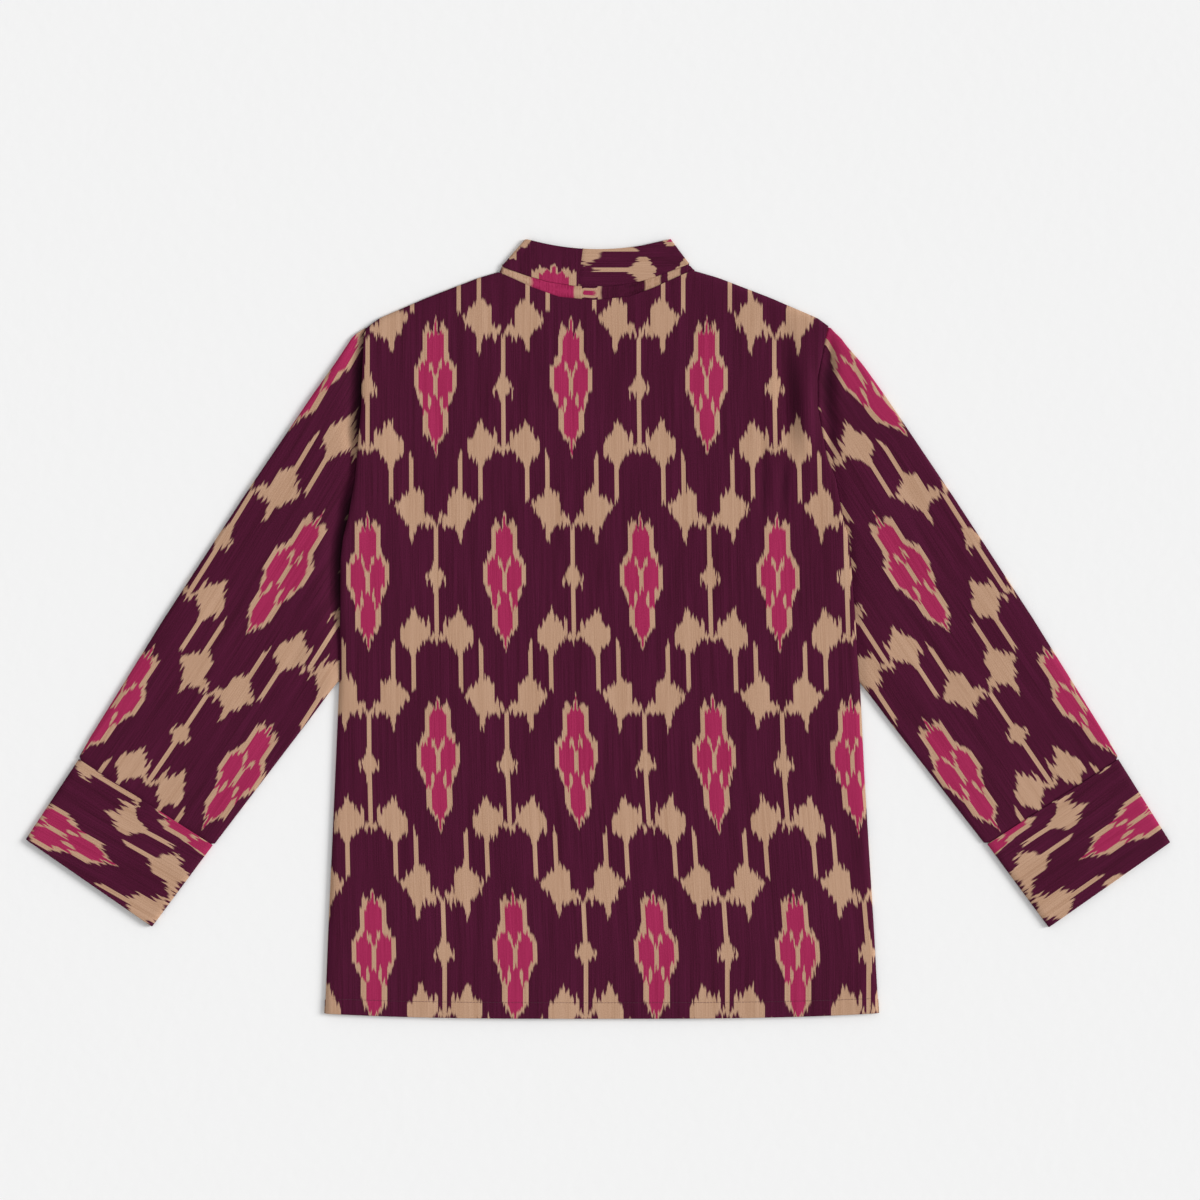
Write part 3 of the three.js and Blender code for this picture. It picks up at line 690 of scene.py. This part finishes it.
def in_slit(x, y, z):
    return abs(x) < SLIT_HALF_WIDTH and y > SLIT_FOOT


x, y, across_rise, along_rise = panel_points(front_top, FRONT_FOLD, rows_laid, FRONT_FOLD, PANEL_COLUMNS)
for side_of_slit in (-SLIT_HALF_WIDTH, SLIT_HALF_WIDTH):
    beside = x[:, [np.argmin(np.abs(x[-1] - side_of_slit))]]
    x = x + (side_of_slit - beside) * np.exp(-((x - beside) / SLIT_REACH) ** 2)
over = x[-1]
on_shoulder = smooth_step(np.abs(over - NECK_MIDDLE), 92, 100)
at_side = 1 - smooth_step(up, UNDERARM - 12, UNDERARM)
shoulder_turn = (1 - along_rise) * on_shoulder * smooth_step(-np.abs(over), -231, -222)
turned_up = np.maximum((1 - across_rise) * at_side, shoulder_turn)
z = (look_up(SIDE, up, "edge") - 0.15) * turned_up + drop + stitched_groove(up)
front = lay_cloth(
    "front_cloth", np.stack([x, y, z], axis=-1), body_warp(-x, y), PANEL_MIDDLE,
    outer_up=False, cut_out=in_slit,
)
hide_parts("front")
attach(front, "root")
hem_stitches = sew("front_hem_stitches", np.stack([x, y, z], axis=-1)[stitched, 8:-8], -1)

# Placket: two straight bands of doubled cloth that close the slit, one lying on the other.
BAND_GAP = 0.3
PLACKET_HEIGHTS = {"placket_upper": (SLIT_FOOT + BAND_GAP, 0), "placket_under": (424, 1.4)}
PLACKET_THICKNESS = 1.1
PLACKET_GROOVE = 0.25
PLACKET_GROOVE_WIDTH = 0.9
PLACKET_GROOVE_IN = {"side": 2, "foot": 3}
PLACKET_ROUNDING = 0.0002
PLACKET_WARP = 40

for name, (foot, bottom) in PLACKET_HEIGHTS.items():
    half = SLIT_HALF_WIDTH - BAND_GAP
    x, y = np.meshgrid(np.linspace(-half, half, 13), np.linspace(foot, FRONT_NECK_DEPTH - BAND_GAP, 90))
    along_sides = np.exp(-((np.abs(x) - half + PLACKET_GROOVE_IN["side"]) / PLACKET_GROOVE_WIDTH) ** 2)
    across_foot = np.exp(-((y - foot - PLACKET_GROOVE_IN["foot"]) / PLACKET_GROOVE_WIDTH) ** 2)
    stitched = np.maximum(along_sides, across_foot)
    z = bottom + PLACKET_THICKNESS - PLACKET_GROOVE * stitched
    band = lay_cloth(
        f"{name}_cloth", np.stack([x, y, z], axis=-1), body_warp(x + PLACKET_WARP, y), (40, 6),
        thickness=PLACKET_THICKNESS - 0.3,
    )
    bpy.ops.object.modifier_add(type="BEVEL")
    band.modifiers[-1].width = PLACKET_ROUNDING
    band.modifiers[-1].segments = 2
    bpy.ops.object.modifier_apply(modifier=band.modifiers[-1].name)
    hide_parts(name)
    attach(band, "root")

# Sleeves: one piece of cloth each, folded along the top and sewn under the arm into a long tube.
# It starts under the body's edge at the armhole, and ends tucked into its cuff.
Edge = namedtuple("Edge", "x y")
# The fold along the top, the seam under the arm, and the corners of the cuffs that they run into
SLEEVE_OUTER = [
    Edge(231, 691.5), Edge(244.5, 680.5), Edge(259.5, 660.5), Edge(288, 620.5), Edge(355.5, 520.5),
    Edge(434, 400.5), Edge(508.5, 280.5), Edge(518.8, 262.4),
]
SLEEVE_INNER = {"left": [Edge(260, 337), Edge(383.5, 175)], "right": [Edge(260, 337), Edge(385.2, 175.9)]}
CUFF_TOP_CORNERS = {
    "left": [Edge(519.5, 259.5), Edge(385.5, 173.5)], "right": [Edge(519.5, 259.5), Edge(388.5, 174.5)],
}
CUFF_END_CORNERS = {
    "left": [Edge(572.5, 179.3), Edge(446.2, 92)], "right": [Edge(571.5, 176.4), Edge(450, 91.3)],
}
# The height of the upper layer, by the share of the sleeve's length
Station = namedtuple("Station", "along top")
SLEEVE_STATIONS = [
    Station(0, 4.2), Station(0.02, 4.6), Station(0.06, 4.9), Station(0.18, 5.1), Station(0.27, 4.8),
    Station(0.38, 5.1), Station(0.5, 4.7), Station(0.62, 5.1), Station(0.74, 4.8), Station(0.87, 4.9),
    Station(1, 4.7),
]
ARMHOLE_REACH = 0.4
SEAM_REACH = 34
UNDER_BODY = 2.2
UNDER_EDGE = 0.7
LOWER_LAYER = 0.65
FOLD_UNDER = 2.5
TUCK_INSET = 1.9
TUCK_FLOOR = 1.4
TUCK_TOP = 4.05
TUCK_ROWS = (-0.4, 4, 10)
UPPER_COLUMNS = 72
LOWER_COLUMNS = 44
# What lies beside the armhole's seam: by height, how much, how far from the seam, and how wide
Beside = namedtuple("Beside", "y much away wide")
HOLLOW_REACH = 0.3
HOLLOW_FLOOR = 1.3
ARMHOLE_HOLLOW = {
    "left": [
        Beside(337, 1.2, 0, 8), Beside(390, 3.2, 0, 10), Beside(415, 6.5, 1, 12), Beside(520, 6.5, 1, 12),
        Beside(542, 2.0, 0, 8), Beside(566, 2.0, 0, 8), Beside(584, 6.0, 1, 11), Beside(660, 6.0, 1, 11),
        Beside(691, 2.2, 0, 9),
    ],
    "right": [
        Beside(337, 0.8, 0, 6), Beside(430, 1.2, 0, 4), Beside(570, 1.3, 3, 5), Beside(590, 5.0, 10, 6),
        Beside(650, 5.0, 10, 6), Beside(691, 1.2, 2, 6),
    ],
}
# Shade painted into the sleeves' colour beside the armhole seams, where the body's edge shades the sleeve
SLEEVE_PAINTED_SHADE = {
    "left": [
        Beside(330, 0, 0, 5), Beside(400, 0.35, 0, 6), Beside(425, 0.8, 0, 8), Beside(515, 0.85, 0, 9),
        Beside(540, 0.1, 0, 5), Beside(570, 0.1, 0, 5), Beside(590, 0.8, 0, 9), Beside(650, 0.85, 0, 10),
        Beside(688, 0.2, 0, 4),
    ],
    "right": [
        Beside(560, 0, 11, 5), Beside(582, 0.3, 11, 5), Beside(650, 0.5, 11, 6), Beside(675, 0, 8, 4),
    ],
}
# How a piece was laid on the cloth: a place midway between two motifs, the way to the next motif
# across and along the warp, how far the motifs are out of line one repeat away, and how far those
# on the sleeve's cap are drawn across
Grain = namedtuple("Grain", "middle across along drift cap", defaults=((0, 0), 0))
CAP_ACROSS = (0.2, 0.42)
CAP_ALONG = (0.85, 0.98)
SLEEVE_GRAIN = {
    "left": Grain((-418.9, 282.1), (119.5, -76.9), (196.3, 290.4), (11.4, -44.4)),
    "right": Grain((420.2, 282.4), (119, 72.6), (-205.8, 303.9), (-8.6, -23.1), 9),
}
SLEEVE_CREASES = {
    "left": [
        Crease(-262, 640, -330, 520, 11, 0.5), Crease(-300, 470, -352, 380, 12, -0.45),
        Crease(-385, 430, -450, 320, 10, 0.4), Crease(-300, 330, -372, 235, 9, -0.5),
        Crease(-420, 300, -470, 230, 11, 0.4), Crease(-270, 420, -300, 352, 8, 0.6),
        Crease(-274, 395, -330, 330, 7, -0.6),
    ],
    "right": [
        Crease(268, 560, 330, 450, 11, 0.45), Crease(300, 420, 372, 310, 12, -0.45),
        Crease(392, 420, 452, 320, 10, 0.4), Crease(275, 372, 345, 280, 8, 0.6),
        Crease(290, 340, 372, 240, 8, -0.45), Crease(430, 300, 482, 225, 11, 0.4),
    ],
}


def tube_section(width, top, floor=0.0, inset=0.0):
    """A flattened tube: across from its outer fold, and its height, for each column round it."""
    upper = np.linspace(0, math.pi, UPPER_COLUMNS)
    lower = np.linspace(math.pi, 2 * math.pi, LOWER_COLUMNS)[1:]
    share = (1 + np.cos(np.concatenate([upper, lower]))) / 2
    on_top = np.arange(len(share)) < UPPER_COLUMNS
    reach = np.where(on_top, FOLD_OVER, FOLD_UNDER)
    from_fold = np.minimum(share, 1 - share) * (width - 2 * inset)
    risen = np.sqrt(1 - (1 - np.clip(from_fold / reach, 0, 1)) ** 2)
    middle = (top + floor) / 2
    height = middle + np.where(on_top, top - middle, floor - middle) * risen
    across = inset + share * (width - 2 * inset)
    return across, height, on_top, risen


def on_edge(table, shares):
    """Places along a line of points, by the share of its length."""
    line = np.array([(edge.x, edge.y) for edge in table])
    length = np.concatenate([[0], np.cumsum(np.hypot(*np.diff(line, axis=0).T))])
    at = shares * length[-1]
    return np.stack([np.interp(at, length, line[:, 0]), np.interp(at, length, line[:, 1])], axis=-1)


def grain_warp(unrolled, grain):
    """Places across and along the warp, from a repeat's two directions."""
    repeat = np.array([grain.across, grain.along]).T
    counts = np.linalg.solve(repeat, (unrolled - np.array(grain.middle)).reshape(-1, 2).T).T
    warp = counts * np.array([REPEAT_ACROSS, REPEAT_ALONG]) + counts[:, 1:] ** 2 * np.array(grain.drift)
    warp[:, 0] += grain.cap * smooth_step(counts[:, 0], *CAP_ACROSS) * smooth_step(counts[:, 1], *CAP_ALONG)
    return warp.reshape(unrolled.shape)


def beside_seam(table, y, away):
    """How much of a hollow or of painted shade there is, by the height and the distance from the seam."""
    much, middle, wide = (look_up(table, y, item) for item in ("much", "away", "wide"))
    return much * np.exp(-((away - middle) / wide) ** 2)


shares = np.concatenate([[0, 0.0035, 0.008, 0.014, 0.02, 0.027], np.linspace(0.035, 1, 112)])
tops = look_up(SLEEVE_STATIONS, shares, "top", by="along")
for side in ("left", "right"):
    sign = -1 if side == "left" else 1
    tip = np.array([abs(getattr(SIDE[-1], side)), SHOULDER_TIP])
    underarm = np.array([abs(look_up(SIDE, UNDERARM, side)), UNDERARM])
    outer = on_edge(SLEEVE_OUTER, shares)
    inner = on_edge(SLEEVE_INNER[side], shares)
    outer[0], inner[0] = tip, underarm
    corner, inner_corner = np.array(CUFF_TOP_CORNERS[side])
    down = np.array(CUFF_END_CORNERS[side][0]) - corner
    down /= np.hypot(*down)
    rings = [(o, i, t, 0.0, 0.0, s) for o, i, t, s in zip(outer, inner, tops, shares)]
    for distance in TUCK_ROWS:
        tucked = corner + down * distance, inner_corner + down * distance
        rings.append((*tucked, TUCK_TOP, TUCK_FLOOR, TUCK_INSET, 1.0))
    places, unrolled, painted_shades = [], [], []
    for number, (o, i, top, floor_height, inset, share) in enumerate(rings):
        width = np.hypot(*(i - o))
        across, z, on_top, risen = tube_section(width, top, floor_height, inset)
        p = o + (across / width)[:, None] * (i - o)
        body_edge = np.abs(look_up(SIDE, p[:, 1], side))
        seam = body_edge + BAND_GAP
        straight = np.interp(p[:, 1], [underarm[1], tip[1]], [underarm[0], tip[0]])
        near_seam = 1 - smooth_step(p[:, 0] - straight, 0, SEAM_REACH)
        shift = (1 - smooth_step(share, 0, ARMHOLE_REACH)) * near_seam * (seam - straight) * (inset == 0)
        x = p[:, 0] + shift
        away = x - body_edge
        near_armhole = share < HOLLOW_REACH
        hollow = beside_seam(ARMHOLE_HOLLOW[side], p[:, 1], away) * risen * near_armhole
        z = np.where(on_top & (inset == 0), np.maximum(z - hollow, np.minimum(z, HOLLOW_FLOOR)), z)
        # Painted shade beside the armhole seam, on the upper layer near the armhole
        painted_shades.append(beside_seam(SLEEVE_PAINTED_SHADE[side], p[:, 1], away) * (on_top & near_armhole))
        if number == 0:
            x = x - UNDER_BODY
            under_edge = np.minimum(z, look_up(SIDE, p[:, 1], "edge") - UNDER_EDGE)
            z = np.where(on_top, under_edge, LOWER_LAYER)
        flat = o + (np.where(on_top, across, -across) / width)[:, None] * (i - o)
        flat = np.stack([sign * (flat[:, 0] + shift), flat[:, 1]], axis=-1)
        creased = relief(sign * x, p[:, 1], SLEEVE_CREASES[side]) * risen
        z = z + np.where(on_top, creased, 0) * (inset == 0)
        places.append(np.stack([sign * x, p[:, 1], z], axis=-1))
        unrolled.append(flat)
    tube = lay_cloth(
        f"sleeve_{side}_cloth", np.array(places), grain_warp(np.array(unrolled), SLEEVE_GRAIN[side]),
        (60, UPPER_COLUMNS // 2), closed=True, deep=np.array(painted_shades),
    )
    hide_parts(f"sleeve_{side}")
    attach(tube, "root")

# Cuffs: deep bands cut with the warp running round the wrist, turned back over the sleeve's end.
# Their upper edge is folded under, and at the hand they fold into the sleeve.
CUFF_TOP = 5.5
CUFF_GRAIN = {
    "left": Grain((-544, 189), (68.5, 118.6), (-329, 190)),
    "right": Grain((541, 201), (-78.6, 112.2), (311.2, 218.1)),
}
CUFF_CREASES = {
    "left": [Crease(-540, 205, -470, 150, 7, 0.4), Crease(-470, 190, -425, 140, 8, -0.35)],
    "right": [Crease(414, 138, 446, 155, 1.6, -0.7), Crease(504, 221, 518, 229, 1.6, -0.6),
              Crease(470, 190, 540, 215, 8, 0.35)],
}
CUFF_SPACING = 2.2
# Where the motifs on the cuffs step along the warp, and where a lobe is drawn aside
MotifStep = namedtuple("MotifStep", "by across along")
CUFF_MOTIF_STEP = MotifStep(40, (118, 124), (60, 75))
LobePull = namedtuple("LobePull", "across along wide long by")
CUFF_LOBE_PULL = LobePull(116, -50, 17, 32, (2.5, 8))

fold = np.radians(np.arange(-90, 91, 22.5)) * FOLD_RADIUS
for side in ("left", "right"):
    sign = -1 if side == "left" else 1
    corners = [np.array(pair) for pair in (*CUFF_TOP_CORNERS[side], *CUFF_END_CORNERS[side])]
    depth = np.hypot(*(corners[2] - corners[0]))
    first_half = np.concatenate([[-9, -5, -2], fold, [2.5, 4.5], np.arange(6.5, depth / 2, CUFF_SPACING)])
    from_top = np.concatenate([turned_edge(first_half)[0], depth - turned_edge(first_half)[0][::-1]])
    drops = np.concatenate([turned_edge(first_half)[1], turned_edge(first_half)[1][::-1]])
    drops[drops < 0.001] = 0
    places, unrolled = [], []
    for distance in from_top:
        share = distance / depth
        o = corners[0] + share * (corners[2] - corners[0])
        i = corners[1] + share * (corners[3] - corners[1])
        width = np.hypot(*(i - o))
        across, z, on_top, risen = tube_section(width, CUFF_TOP)
        p = o + (across / width)[:, None] * (i - o)
        flat = o + (np.where(on_top, across, -across) / width)[:, None] * (i - o)
        z = z + np.where(on_top, relief(sign * p[:, 0], p[:, 1], CUFF_CREASES[side]) * risen, 0)
        places.append(np.stack([sign * p[:, 0], p[:, 1], z], axis=-1))
        unrolled.append(np.stack([sign * flat[:, 0], flat[:, 1]], axis=-1))
    places = np.array(places)
    length = np.array([sign * (corners[2] - corners[0])[0], (corners[2] - corners[0])[1], 0])
    inward = np.cross(np.gradient(places, axis=1), length)
    inward *= sign / np.linalg.norm(inward, axis=-1, keepdims=True)
    places = places + inward * drops[:, None, None]
    warp = grain_warp(np.array(unrolled), CUFF_GRAIN[side]) + np.array([REPEAT_ACROSS / 2, 0])
    step, pull = CUFF_MOTIF_STEP, CUFF_LOBE_PULL
    across, along = warp[..., 0], warp[..., 1]
    along -= step.by * smooth_step(across, *step.across) * smooth_step(-along, *step.along)
    from_lobe = ((across - pull.across) / pull.wide) ** 2 + ((along - pull.along) / pull.long) ** 2
    warp = warp + np.exp(-from_lobe)[..., None] * np.array(pull.by)
    cuff = lay_cloth(f"cuff_{side}_cloth", places, warp, (20, UPPER_COLUMNS // 2), closed=True)
    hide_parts(f"cuff_{side}")
    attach(cuff, "root")

# Collar: a doubled band in two lengths, sewn round the neck with its grain across. The left length
# laps over the right at the back. Each turns over at the shoulder and runs under, to the front slit.
BAND_TOP = 3.9
BAND_UNDER_LAP = 2.6
BAND_FOLD_RADIUS = 0.45
BAND_WIDTH = 40
LAP_END = {"left": -20.5, "right": -33}
BAND_SEAM = [
    Seam(0, 732), Seam(20, 732.6), Seam(45, 736.5), Seam(66, 742.5), Seam(86, 749.5), Seam(97, 754.5),
]
BAND_EDGE_MIDDLE = 769.2
BAND_EDGE_RISE = 10.3
BAND_EDGE_HALF = 72
BAND_NECK_POINTS = 70
BAND_TURNING_POINTS = 6
# How the left length was laid on the cloth: the middle of its medallion, where that is on the warp,
# and how far the motif is drawn out across and in along
LEFT_CUT_MIDDLE = (-44.5, 747.5)
LEFT_CUT_WARP = (68.5, 55)
LEFT_CUT_DRAWN_OUT = 1.75
LEFT_CUT_DRAWN_IN = 1.5
LEFT_CORNER_STEP = 30
# The right length: the height of the warp's first thread, and the place along it by the place
# across; then its slanted corner
RIGHT_CUT_START = 862
Cut = namedtuple("Cut", "x along")
RIGHT_CUT = [Cut(-60, -165), Cut(-4.5, -111), Cut(29.5, -77), Cut(65.5, -30), Cut(100, 6), Cut(180, 86)]
RIGHT_SLANT_MIDDLE = (80, 750)
RIGHT_SLANT_WARP = 70
RIGHT_SLANT = 2
BAND_CREASES = [Crease(-70, 770, -40, 750, 5, 0.25), Crease(30, 765, 62, 755, 6, -0.3)]


def band_seam(x):
    return look_up(BAND_SEAM, np.abs(x - NECK_MIDDLE), "y", by="x")


def band_edge(x):
    return BAND_EDGE_MIDDLE + BAND_EDGE_RISE * (x / BAND_EDGE_HALF) ** 2


arc = np.radians(np.arange(-90, 91, 30)) * BAND_FOLD_RADIUS
for side in ("left", "right"):
    sign = -1 if side == "left" else 1
    foot, head = np.array(BAND_FOLD_FOOT[side]), np.array(BAND_FOLD_TOP[side])
    outward = np.array([sign * (head[1] - foot[1]), sign * (foot[0] - head[0])])
    outward /= np.hypot(*outward)
    from_end = np.concatenate([arc, np.arange(2, abs(foot[0]), 3.2)])
    in_from_end, lap_drop = turned_edge(from_end, BAND_FOLD_RADIUS)
    over = LAP_END[side] + sign * in_from_end
    keep = sign * over < sign * foot[0] - 5
    over, lap_drop = over[keep], lap_drop[keep]
    low = np.stack([over, band_seam(over)], axis=-1)
    high = np.stack([over * (head[0] / foot[0]), band_edge(over * (head[0] / foot[0]))], axis=-1)
    under_lap = 0 * over
    if side == "right":
        under_lap = smooth_step(-over, -LAP_END["left"] - 3, -LAP_END["left"] + 3)
    height = BAND_TOP - (BAND_TOP - BAND_UNDER_LAP) * under_lap - lap_drop
    turn = np.radians(np.arange(0, 181, 15))
    in_from_fold = FOLD_UNDER * (1 - np.sin(turn))[:, None] * outward
    neck = front_neck(side, BAND_NECK_POINTS)[2:]
    run = np.gradient(neck, axis=0)
    run /= np.linalg.norm(run, axis=-1, keepdims=True)
    neck_high = neck + BAND_WIDTH * sign * np.stack([run[:, 1], -run[:, 0]], axis=-1)
    high_fold = head - in_from_fold
    high_fold[:, 1] = np.minimum(band_edge(high_fold[:, 0]), head[1])
    turning = np.linspace(0, 1, BAND_TURNING_POINTS + 2)[1:-1, None]
    neck_high[:BAND_TURNING_POINTS] = head + turning * (neck_high[BAND_TURNING_POINTS] - head)
    neck[-1] = (sign * BAND_GAP / 2, FRONT_NECK_DEPTH)
    neck_high[-1] = neck[-1] + (0, BAND_WIDTH)
    low = np.concatenate([low, foot - in_from_fold, neck])
    high = np.concatenate([high, high_fold, neck_high])
    height = np.concatenate([height, BAND_TOP / 2 * (1 + np.cos(turn)), 0 * neck[:, 0]])
    facing = np.concatenate([0 * over, turn, 0 * neck[:, 0] + math.pi])
    normal = np.concatenate([np.sin(facing)[:, None] * outward, np.cos(facing)[:, None]], axis=-1)
    width = np.linalg.norm(high - low, axis=-1)
    half = np.concatenate([[-6, -3], arc, [1.8, 4, 6, 9]])
    back, drop = turned_edge(half, BAND_FOLD_RADIUS)
    middle_share = np.full((1, len(width)), 0.5)
    shares = np.concatenate([back[:, None] / width, middle_share, 1 - back[::-1, None] / width])
    drop = np.concatenate([drop, [0], drop[::-1]])
    flat = low + shares[:, :, None] * (high - low)
    creased = relief(flat[..., 0], flat[..., 1], BAND_CREASES) * (facing == 0)
    z = np.broadcast_to(height, shares.shape) + creased
    places = np.concatenate([flat, z[..., None]], axis=-1) - drop[:, None, None] * normal
    x, y = flat[..., 0], flat[..., 1]
    if side == "left":
        across = LEFT_CUT_WARP[0] + (x - LEFT_CUT_MIDDLE[0]) / LEFT_CUT_DRAWN_OUT
        along = LEFT_CUT_WARP[1] + (y - LEFT_CUT_MIDDLE[1]) * LEFT_CUT_DRAWN_IN
        along += LEFT_CORNER_STEP * smooth_step(-x, 62, 70) * smooth_step(y, 760, 766)
    else:
        across = RIGHT_CUT_START - y
        along = look_up(RIGHT_CUT, x, "along", by="x")
        slant = (x - RIGHT_SLANT_MIDDLE[0]) - (y - RIGHT_SLANT_MIDDLE[1])
        slanted = RIGHT_SLANT_WARP + RIGHT_SLANT * slant
        along += (slanted - along) * smooth_step(x, 66, 70) * smooth_step(y, 728, 738)
    warp = np.stack([across, along], axis=-1)
    collar = lay_cloth(f"collar_{side}_cloth", places, warp, (8, 10))
    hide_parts(f"collar_{side}")
    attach(collar, "root")

# Neck strip: a crescent let in between the back's neck and the band, with its grain along it. Its
# lower edge is sewn under the back's, and its upper edge under the band's.
STRIP_TOP = 3.2
STRIP_TUCK = 2
STRIP_TUCK_DROP = 0.5
STRIP_END_HEIGHT = 2.4
STRIP_END_SLOPE = 0.06
# Places across its lower and upper edges, and where it was cut from the cloth
Column = namedtuple("Column", "seam band")
STRIP_COLUMNS = [
    Column(-99, -96.5), Column(-84, -82), Column(-64, -62.5), Column(-42, -41.5), Column(-20.5, -20.5),
    Column(14, 13), Column(38, 36), Column(60, 56.5), Column(79, 74.5), Column(96, 90.5),
]
StripCut = namedtuple("StripCut", "x across along bow", defaults=(1,))
STRIP_CUT = [
    StripCut(-110, 80.5, -75), StripCut(-97.5, 80.5, -52), StripCut(-63.5, 80.5, -27),
    StripCut(-24.5, 80.5, 21), StripCut(-20, 80.5, 30), StripCut(-16.5, 80.5, 34, 1),
    StripCut(-14.5, 74, 36, 18), StripCut(-2.5, 74, 47, 18), StripCut(-0.5, 80.5, 49, 1),
    StripCut(6.5, 80.5, 58), StripCut(42.5, 80.5, 121.5), StripCut(64, 80.5, 151),
    StripCut(68, 80.5, 240), StripCut(70, 80.5, 248), StripCut(81, 80.5, 270), StripCut(90, 80.5, 285),
]

places, unrolled = [], []
seam_x = np.linspace(STRIP_COLUMNS[0].seam, STRIP_COLUMNS[-1].seam, 70)
band_x = look_up(STRIP_COLUMNS, seam_x, "band", by="seam")
width = band_seam(band_x) - neck_seam(seam_x)
strip_rows = ((0, -STRIP_TUCK), (0, 1), (0.25, 0), (0.5, 0), (0.75, 0), (1, -1), (1, STRIP_TUCK))
for share, tuck in strip_rows:
    x = seam_x + (band_x - seam_x) * share
    y = neck_seam(seam_x) + width * share + tuck
    from_end = np.minimum(x - STRIP_COLUMNS[0].seam, STRIP_COLUMNS[-1].seam - x)
    z = STRIP_TOP - STRIP_TUCK_DROP * (abs(tuck) == STRIP_TUCK)
    z = np.minimum(z, STRIP_END_HEIGHT + STRIP_END_SLOPE * from_end)
    places.append(np.stack([x, y, z], axis=-1))
    across, along, bow = (look_up(STRIP_CUT, x, item, by="x") for item in ("across", "along", "bow"))
    unrolled.append(np.stack([across + bow * abs(share - 0.5), along], axis=-1))
strip = lay_cloth("neck_strip_cloth", np.array(places), np.array(unrolled), (2, 30))
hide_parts("neck_strip")
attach(strip, "root")
